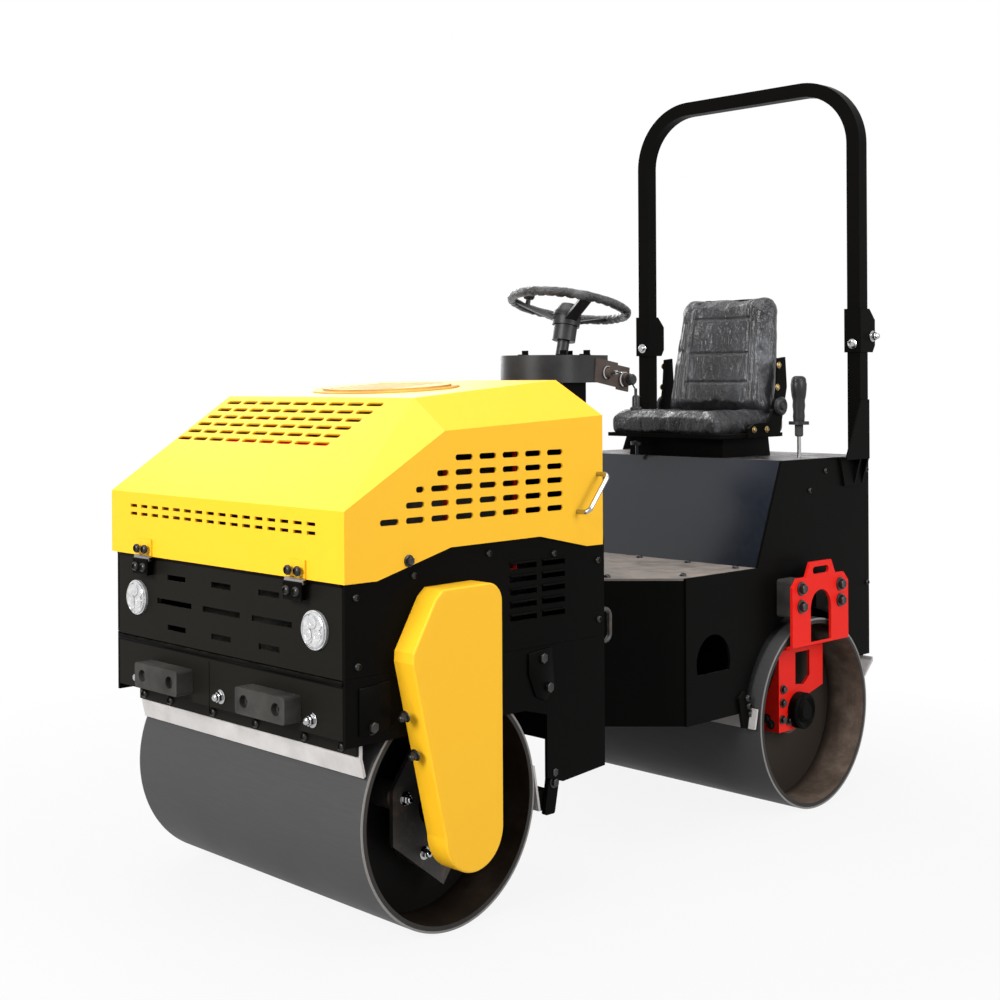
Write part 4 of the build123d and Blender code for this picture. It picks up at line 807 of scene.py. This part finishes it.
fit_out(vent_flange(), "vent_flange", VENT, "hood_body")
place_all(hex_bolt(0.018), both_sides(HOOD_SIDE, [(-0.899, 0.869)]), "hood_bolts", SOCKET, "hood_body")
fit_out(join_all([hinge_plate(x) for x in HINGES_X]), "hinge_plates", BLACK, "front_body")

# Black caps on the bare ends of the rear drum's spindles
SPINDLE_END = 0.3803


def spindle_cap(side):
    cap = rod(36, 0.054, 0.024)
    step_in(cap, top_at(0.024), 0.008, 0.004)
    step_in(cap, top_at(0.028), 0.012, -0.006)
    step_in(cap, top_at(0.022), 0.010, 0.010)
    return stand(cap, (side, 0, 0), (side * SPINDLE_END, REAR_AXLE, AXLE_Z))


fit_out(join_all([spindle_cap(1), spindle_cap(-1)]), "spindle_caps", BLACK, "rear_body")

# Steering wheel: film over the rim, and the hub cap
WHEEL_RAKE = 13


def round_turn(centre, step):
    """Number of whole steps, in degrees, round the Z axis to a face's centre."""
    return round(degrees(atan2(centre.y, centre.x)) / step)


def wheel_film():
    """Film wound over the rim: pinched between finger ridges."""
    bpy.ops.mesh.primitive_torus_add(major_segments=144, minor_segments=14, major_radius=0.167,
                                     minor_radius=0.0122)
    rim = bpy.context.object
    settle(rim)
    pick_faces(rim, lambda c, n: n.z < 0.4 and round_turn(c, 2.5) % 4 < 2)
    bpy.ops.transform.shrink_fatten(value=0.0026)
    leave_edit()
    wrinkle = bpy.data.textures.new("film_folds", type="CLOUDS")
    wrinkle.noise_scale = 0.02
    fold = rim.modifiers.new("folds", "DISPLACE")
    fold.texture = wrinkle
    fold.strength = 0.004
    fold.mid_level = 0.45
    apply_modifier(rim, fold)
    rim.rotation_euler = (radians(-WHEEL_RAKE), 0, 0)
    rim.location = WHEEL_AT
    return rim


def hub_cap():
    cap = rod(36, 0.041, 0.012)
    step_in(cap, top_at(0.012), 0.004, 0.006)
    step_in(cap, top_at(0.018), 0.010, 0.016)
    step_in(cap, top_at(0.034), 0.004, 0.004)
    step_in(cap, top_at(0.038), 0.004, -0.002)
    cap.rotation_euler = (radians(-WHEEL_RAKE), 0, 0)
    along = Vector((0, sin(radians(WHEEL_RAKE)), cos(radians(WHEEL_RAKE))))
    cap.location = Vector(WHEEL_AT) - along * 0.035
    return cap


fit_out(wheel_film(), "wheel_rim_film", FILM, "wheel_body", 60)
fit_out(hub_cap(), "wheel_hub_cap", PLASTIC, "wheel_body")

# Dash: clips on its top, and the key switch, throttle knob and stop plunger on its left side
SWITCH_AT = (0.132, 0.185, 1.290)
THROTTLE_AT = (0.132, 0.261, 1.270)
SHANK = 0.021
PLUNGER_X, PLUNGER_Y = 0.146, 0.300


def clip(x, y, z):
    base = block((0.026, 0.020, 0.004), (x, y, z + 0.002), 0.001)
    tongue = block((0.024, 0.003, 0.013), (x, y + 0.008, z + 0.0085), 0.001)
    return join_all([base, tongue])


fit_out(join_all([clip(x, y, DASH_TOP) for x, y in (
    (-0.060, 0.045), (0.055, 0.080), (0.100, 0.130), (0.0, 0.170))]),
    "dash_clips", BLACK, "rear_body")


def collar_ring(at, radius, length):
    ring = rod(28, radius, length)
    step_in(ring, top_at(length), radius * 0.12, radius * 0.10)
    step_in(ring, lambda c, n: n.z > 0.9 and c.z > length, radius * 0.25, -radius * 0.2)
    return stand(ring, LEFT, at)


def in_front_of(collar):
    """The point on a collar's axis where its key or knob starts."""
    return collar[0] + SHANK, collar[1], collar[2]


def ignition_key():
    key = rod(16, 0.007, 0.018)
    step_in(key, top_at(0.018), 0.002, 0.002)
    bow = block((0.020, 0.004, 0.026), (0, 0, 0.030), 0.0016)
    return stand(join_all([key, bow]), LEFT, in_front_of(SWITCH_AT))


def throttle_knob():
    """Round knob with flutes cut into its edge."""
    knob = rod(24, 0.016, 0.014)
    step_in(knob, top_at(0.014), 0.003, 0.004)
    pick_faces(knob, lambda c, n: abs(n.z) < 0.2 and c.z < 0.014 and round_turn(c, 15) % 2)
    bpy.ops.mesh.inset(thickness=0.0006, depth=-0.0012, use_individual=True)
    leave_edit()
    return stand(knob, LEFT, in_front_of(THROTTLE_AT))


def stop_plunger():
    """Handle with a skirt, hung on a link from the side of the dash."""
    hook = bead((0.142, 0.285, 1.262), (PLUNGER_X, PLUNGER_Y, 1.240), 0.0022)
    handle = rod(18, 0.011, 0.030)
    step_in(handle, top_at(0.030), 0.003, 0.006)
    put(handle, (PLUNGER_X, PLUNGER_Y, 1.188))
    skirt = rod(18, 0.017, 0.008)
    step_in(skirt, top_at(0.008), 0.003, 0.003)
    put(skirt, (PLUNGER_X, PLUNGER_Y, 1.180))
    link_bar = bead((PLUNGER_X, PLUNGER_Y, 1.243), (PLUNGER_X, PLUNGER_Y, 1.216), 0.0045)
    return join_all([hook, handle, skirt, link_bar])


fit_out(join_all([collar_ring(SWITCH_AT, 0.0195, 0.006), collar_ring(THROTTLE_AT, 0.0225, 0.006)]),
        "switch_rings", CHROME, "rear_body")
fit_out(ignition_key(), "ignition_key", CHROME, "rear_body")
fit_out(throttle_knob(), "throttle_knob", PLASTIC, "rear_body")
fit_out(stop_plunger(), "stop_plunger", PLASTIC, "rear_body")

# Lever: rubber sleeve and chrome stem under a grip with finger grooves
LEVER_X, LEVER_Y = 0.345, 0.832
STEM_TOP, GRIP_FROM = 1.098, 1.1405
GRIP_LENGTH = 0.128
GRIP_WIDTHS = {0.0: 0.92, 0.014: 1.0, 0.030: 0.94, 0.046: 1.06, 0.062: 1.0, 0.078: 1.2, 0.096: 1.3,
               0.112: 1.34, GRIP_LENGTH: 1.15}


def lever_grip():
    grip = rod(28, 0.0172, GRIP_LENGTH)
    cut_across(grip, [height for height in GRIP_WIDTHS if 0 < height < GRIP_LENGTH])
    for vertex in grip.data.vertices:
        width = GRIP_WIDTHS[min(GRIP_WIDTHS, key=lambda h: abs(h - vertex.co.z))]
        vertex.co.x *= width * 0.98
        vertex.co.y *= width * 1.16
    step_in(grip, top_at(GRIP_LENGTH), 0.007, 0.007)
    step_in(grip, lambda c, n: n.z > 0.9 and c.z > GRIP_LENGTH + 0.002, 0.006, 0.002)
    return put(grip, (LEVER_X, LEVER_Y, GRIP_FROM))


def lever_sleeve():
    sleeve = rod(24, 0.0125, 0.030)
    step_in(sleeve, top_at(0.030), 0.003, 0.006)
    step_in(sleeve, lambda c, n: n.z < -0.9, 0.003, 0.004)
    return put(sleeve, (LEVER_X, LEVER_Y, STEM_TOP))


fit_out(lever_grip(), "lever_grip", PLASTIC, "rear_body", 50)
fit_out(bead((LEVER_X, LEVER_Y, 1.030), (LEVER_X, LEVER_Y, STEM_TOP), 0.0058, 18),
        "lever_stem", CHROME, "rear_body")
fit_out(lever_sleeve(), "lever_sleeve", RUBBER, "rear_body")

# Seat: cushion and back, with the bolts, recliner covers and slide knob
SKIN_GRAIN = 0.006
AIR_FRAMES = 20
CUSHION_UNDERSIDE = 1.0975
BACK_SEAMS = (0.074, 0.168, 0.281)
PANEL_HALF_WIDTH = 0.118
PLEATS = (0.022, 0.040)
BACK_RAKE = 9


def grow(piece, limit):
    """Fill a closed skin with air until it swells, and keep each point within the limit."""
    start = [vertex.co.copy() for vertex in piece.data.vertices]
    cloth = piece.modifiers.new("air", "CLOTH")
    cloth.settings.use_pressure = True
    cloth.settings.uniform_pressure_force = 4.0
    cloth.settings.effector_weights.gravity = 0.0
    cloth.settings.tension_stiffness = 12.0
    cloth.settings.bending_stiffness = 0.6
    cloth.point_cache.frame_start = 1
    cloth.point_cache.frame_end = AIR_FRAMES
    for number in range(1, AIR_FRAMES + 1):
        scene.frame_set(number)
    apply_modifier(piece, cloth)
    scene.frame_set(1)
    for vertex, was in zip(piece.data.vertices, start):
        move = vertex.co - was
        if move.length > limit:
            vertex.co = was + move * (limit / move.length)


def soft_skin(piece, limit):
    """One even skin over a rounded block, swollen by air and then smoothed."""
    skin = piece.modifiers.new("skin", "REMESH")
    skin.mode = "VOXEL"
    skin.voxel_size = SKIN_GRAIN
    apply_modifier(piece, skin)
    grow(piece, limit)
    finer = piece.modifiers.new("finer", "SUBSURF")
    finer.levels = 1
    finer.render_levels = 1
    apply_modifier(piece, finer)


def crumple(piece, name, size, strength):
    """Shallow folds of loose film."""
    folds = bpy.data.textures.new(name, type="STUCCI")
    folds.noise_scale = size
    folds.turbulence = 8.0
    push = piece.modifiers.new(name, "DISPLACE")
    push.texture = folds
    push.strength = strength
    push.mid_level = 0.5
    apply_modifier(piece, push)


def fall(distance, width):
    """Smooth bump of height one round zero."""
    return exp(-(distance / width) ** 2)


def seat_cushion():
    """Flat pad with a dip to sit in, and a seam round its middle panel."""
    dip_depth, dip_reach, dip_y = 0.010, 0.15, 0.84
    seam_depth, seam_width, seam_x, seam_y = 0.0035, 0.006, 0.135, 0.690
    pad = block((0.424, 0.376, 0.062), (0, 0.790, 1.128), 0.018, 3)
    pick_faces(pad, lambda c, n: n.y < -0.9)
    bpy.ops.transform.translate(value=(0, -0.004, 0.006))
    leave_edit()
    soft_skin(pad, 0.014)
    for vertex in pad.data.vertices:
        x, y, z = vertex.co
        if z > 1.13:
            sideways, lengthways = x / dip_reach, (y - dip_y) / dip_reach
            dip = dip_depth * max(0.0, 1 - sideways ** 2) * max(0.0, 1 - lengthways ** 2)
            long_seams = fall(abs(x) - seam_x, seam_width)
            cross_seam = fall(y - seam_y, seam_width) * (abs(x) < seam_x + 0.005)
            vertex.co.z = z - dip - seam_depth * (long_seams + cross_seam)
        vertex.co.z = max(vertex.co.z, CUSHION_UNDERSIDE)
    crumple(pad, "cushion_folds", 0.05, 0.005)
    return pad


def seat_back():
    """Back that narrows upwards, with cross seams, panel edges and pleats beside them."""
    pad = block((0.412, 0.058, 0.399), (0, 0, 0.1665), 0.026, 3)
    cut_across(pad, (0.13, 0.24, 0.32))
    for vertex in pad.data.vertices:
        rise = max(0.0, vertex.co.z - 0.13) / 0.227
        corner = max(0.0, vertex.co.z - 0.315) / 0.051
        vertex.co.x *= 1 - 0.12 * rise ** 1.3 - 0.10 * corner ** 2
    soft_skin(pad, 0.016)
    for vertex in pad.data.vertices:
        x, y, z = vertex.co
        if y < 0:
            panel = PANEL_HALF_WIDTH - 0.06 * max(0.0, z - 0.10)
            middle = max(0.0, 1 - (x / panel) ** 4)
            lines = sum(fall(z - height, 0.0045) for height in BACK_SEAMS) * (abs(x) < panel)
            edges = fall(abs(x) - panel, 0.0055) * (0.020 < z < 0.340)
            pleats = sum(fall(abs(x) - panel - step, 0.004) for step in PLEATS) * (z < 0.27)
            vertex.co.y = y + 0.009 * middle + 0.0045 * lines + 0.005 * edges + 0.0025 * pleats
    crumple(pad, "back_folds", 0.06, 0.005)
    pad.rotation_euler = (radians(-BACK_RAKE), 0, 0)
    pad.location = (0, 0.918, 1.180)
    return pad


place_all(hex_bolt(0.013, 0.004),
          both_sides(SEAT_SIDE, [(0.909, 1.312), (0.901, 1.243), (0.775, 1.113), (0.842, 1.113)]),
          "recliner_bolts", COPPER_BOLT, "rear_body")


def recliner_cover(side):
    cover = rod(32, 0.029, 0.010)
    step_in(cover, top_at(0.010), 0.006, 0.004)
    step_in(cover, top_at(0.014), 0.010, -0.003)
    step_in(cover, top_at(0.011), 0.004, 0.005)
    return stand(cover, (side, 0, 0), (side * SEAT_SIDE, 0.912, 1.184))


fit_out(join_all([recliner_cover(1), recliner_cover(-1)]),
        "recliner_covers", PLASTIC, "rear_body")


def slide_knob(x, y):
    """Round knob on a short stem, under the seat's front edge."""
    knob = rod(24, 0.021, 0.010)
    step_in(knob, top_at(0.010), 0.004, 0.004)
    put(knob, (x, y, 1.062))
    return join_all([knob, bead((x, y, 1.031), (x, y, 1.064), 0.006, 14)])


fit_out(slide_knob(-0.115, 0.632), "seat_slide_knob", PLASTIC, "rear_body")
cushion = fit_out(seat_cushion(), "seat_cushion_film", VINYL, "rear_body", 80)
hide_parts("seat_cushion")
backrest = fit_out(seat_back(), "seat_back_film", VINYL, "rear_body", 80)
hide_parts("seat_back")

# Light and floor


def seeing_rays(tree):
    """One for camera, transmission and glossy rays, so that all three see the same, and zero for others."""
    path = add_node(tree, "ShaderNodeLightPath")
    straight = work_out(tree, "MAXIMUM", path.outputs["Is Camera Ray"], path.outputs["Is Transmission Ray"])
    return work_out(tree, "MAXIMUM", straight, path.outputs["Is Glossy Ray"])


SKY_LIGHT, SKY_SEEN = 0.40, 1.0
world = bpy.data.worlds.new("studio")
scene.world = world
world.use_nodes = True
sky = world.node_tree
backdrop = sky.nodes["Background"]
backdrop.inputs["Color"].default_value = (1, 1, 1, 1)
link(sky, spread(sky, seeing_rays(sky), SKY_LIGHT, SKY_SEEN), backdrop.inputs["Strength"])


def soft_lamp(name, at, target, size, power):
    bpy.ops.object.light_add(type="AREA", location=at)
    lamp = bpy.context.object
    lamp.name = name
    lamp.data.shape = "RECTANGLE"
    lamp.data.size, lamp.data.size_y = size
    lamp.data.energy = power
    lamp.rotation_euler = (Vector(target) - Vector(at)).to_track_quat("-Z", "Y").to_euler()


soft_lamp("front_lamp", (0.6, -6.2, 3.2), (0, -0.6, 0.8), (3.0, 2.2), 450)
soft_lamp("side_lamp", (5.5, 1.2, 3.0), (0.4, 0.2, 0.8), (3.0, 3.0), 205)
soft_lamp("top_lamp", (0.2, -0.6, 5.5), (0, -0.2, 0), (4.0, 4.0), 200)
soft_lamp("sheen_lamp", (-4.2, 1.6, 2.8), (0, -0.2, 1.0), (3.5, 3.0), 170)

FLOOR_GLOW_NEAR, FLOOR_GLOW_FAR = 0.89, 1.0
FLOOR_FADE = (1.3, 2.6)


def pale_paper():
    """Floor that glows for the rays that see it, a little less round the machine than far off."""
    material, tree, shader = new_material("pale_floor")
    shader.inputs["Base Color"].default_value = (0.35, 0.35, 0.35, 1)
    shader.inputs["Roughness"].default_value = 0.9
    place = add_node(tree, "ShaderNodeTexCoord")
    reach = length_of(tree, place.outputs["Object"])
    fade = spread(tree, reach, FLOOR_GLOW_NEAR, FLOOR_GLOW_FAR, FLOOR_FADE)
    share = work_out(tree, "MULTIPLY", seeing_rays(tree), fade)
    glow = add_node(tree, "ShaderNodeEmission")
    blend = add_node(tree, "ShaderNodeMixShader")
    link(tree, share, blend.inputs[0])
    link(tree, shader.outputs[0], blend.inputs[1])
    link(tree, glow.outputs[0], blend.inputs[2])
    link(tree, blend.outputs[0], tree.nodes["Material Output"].inputs["Surface"])
    return material


bpy.ops.mesh.primitive_plane_add(size=60, location=(0, 0, 0))
floor = bpy.context.object
floor.name = "studio_floor"
floor.data.materials.append(pale_paper())
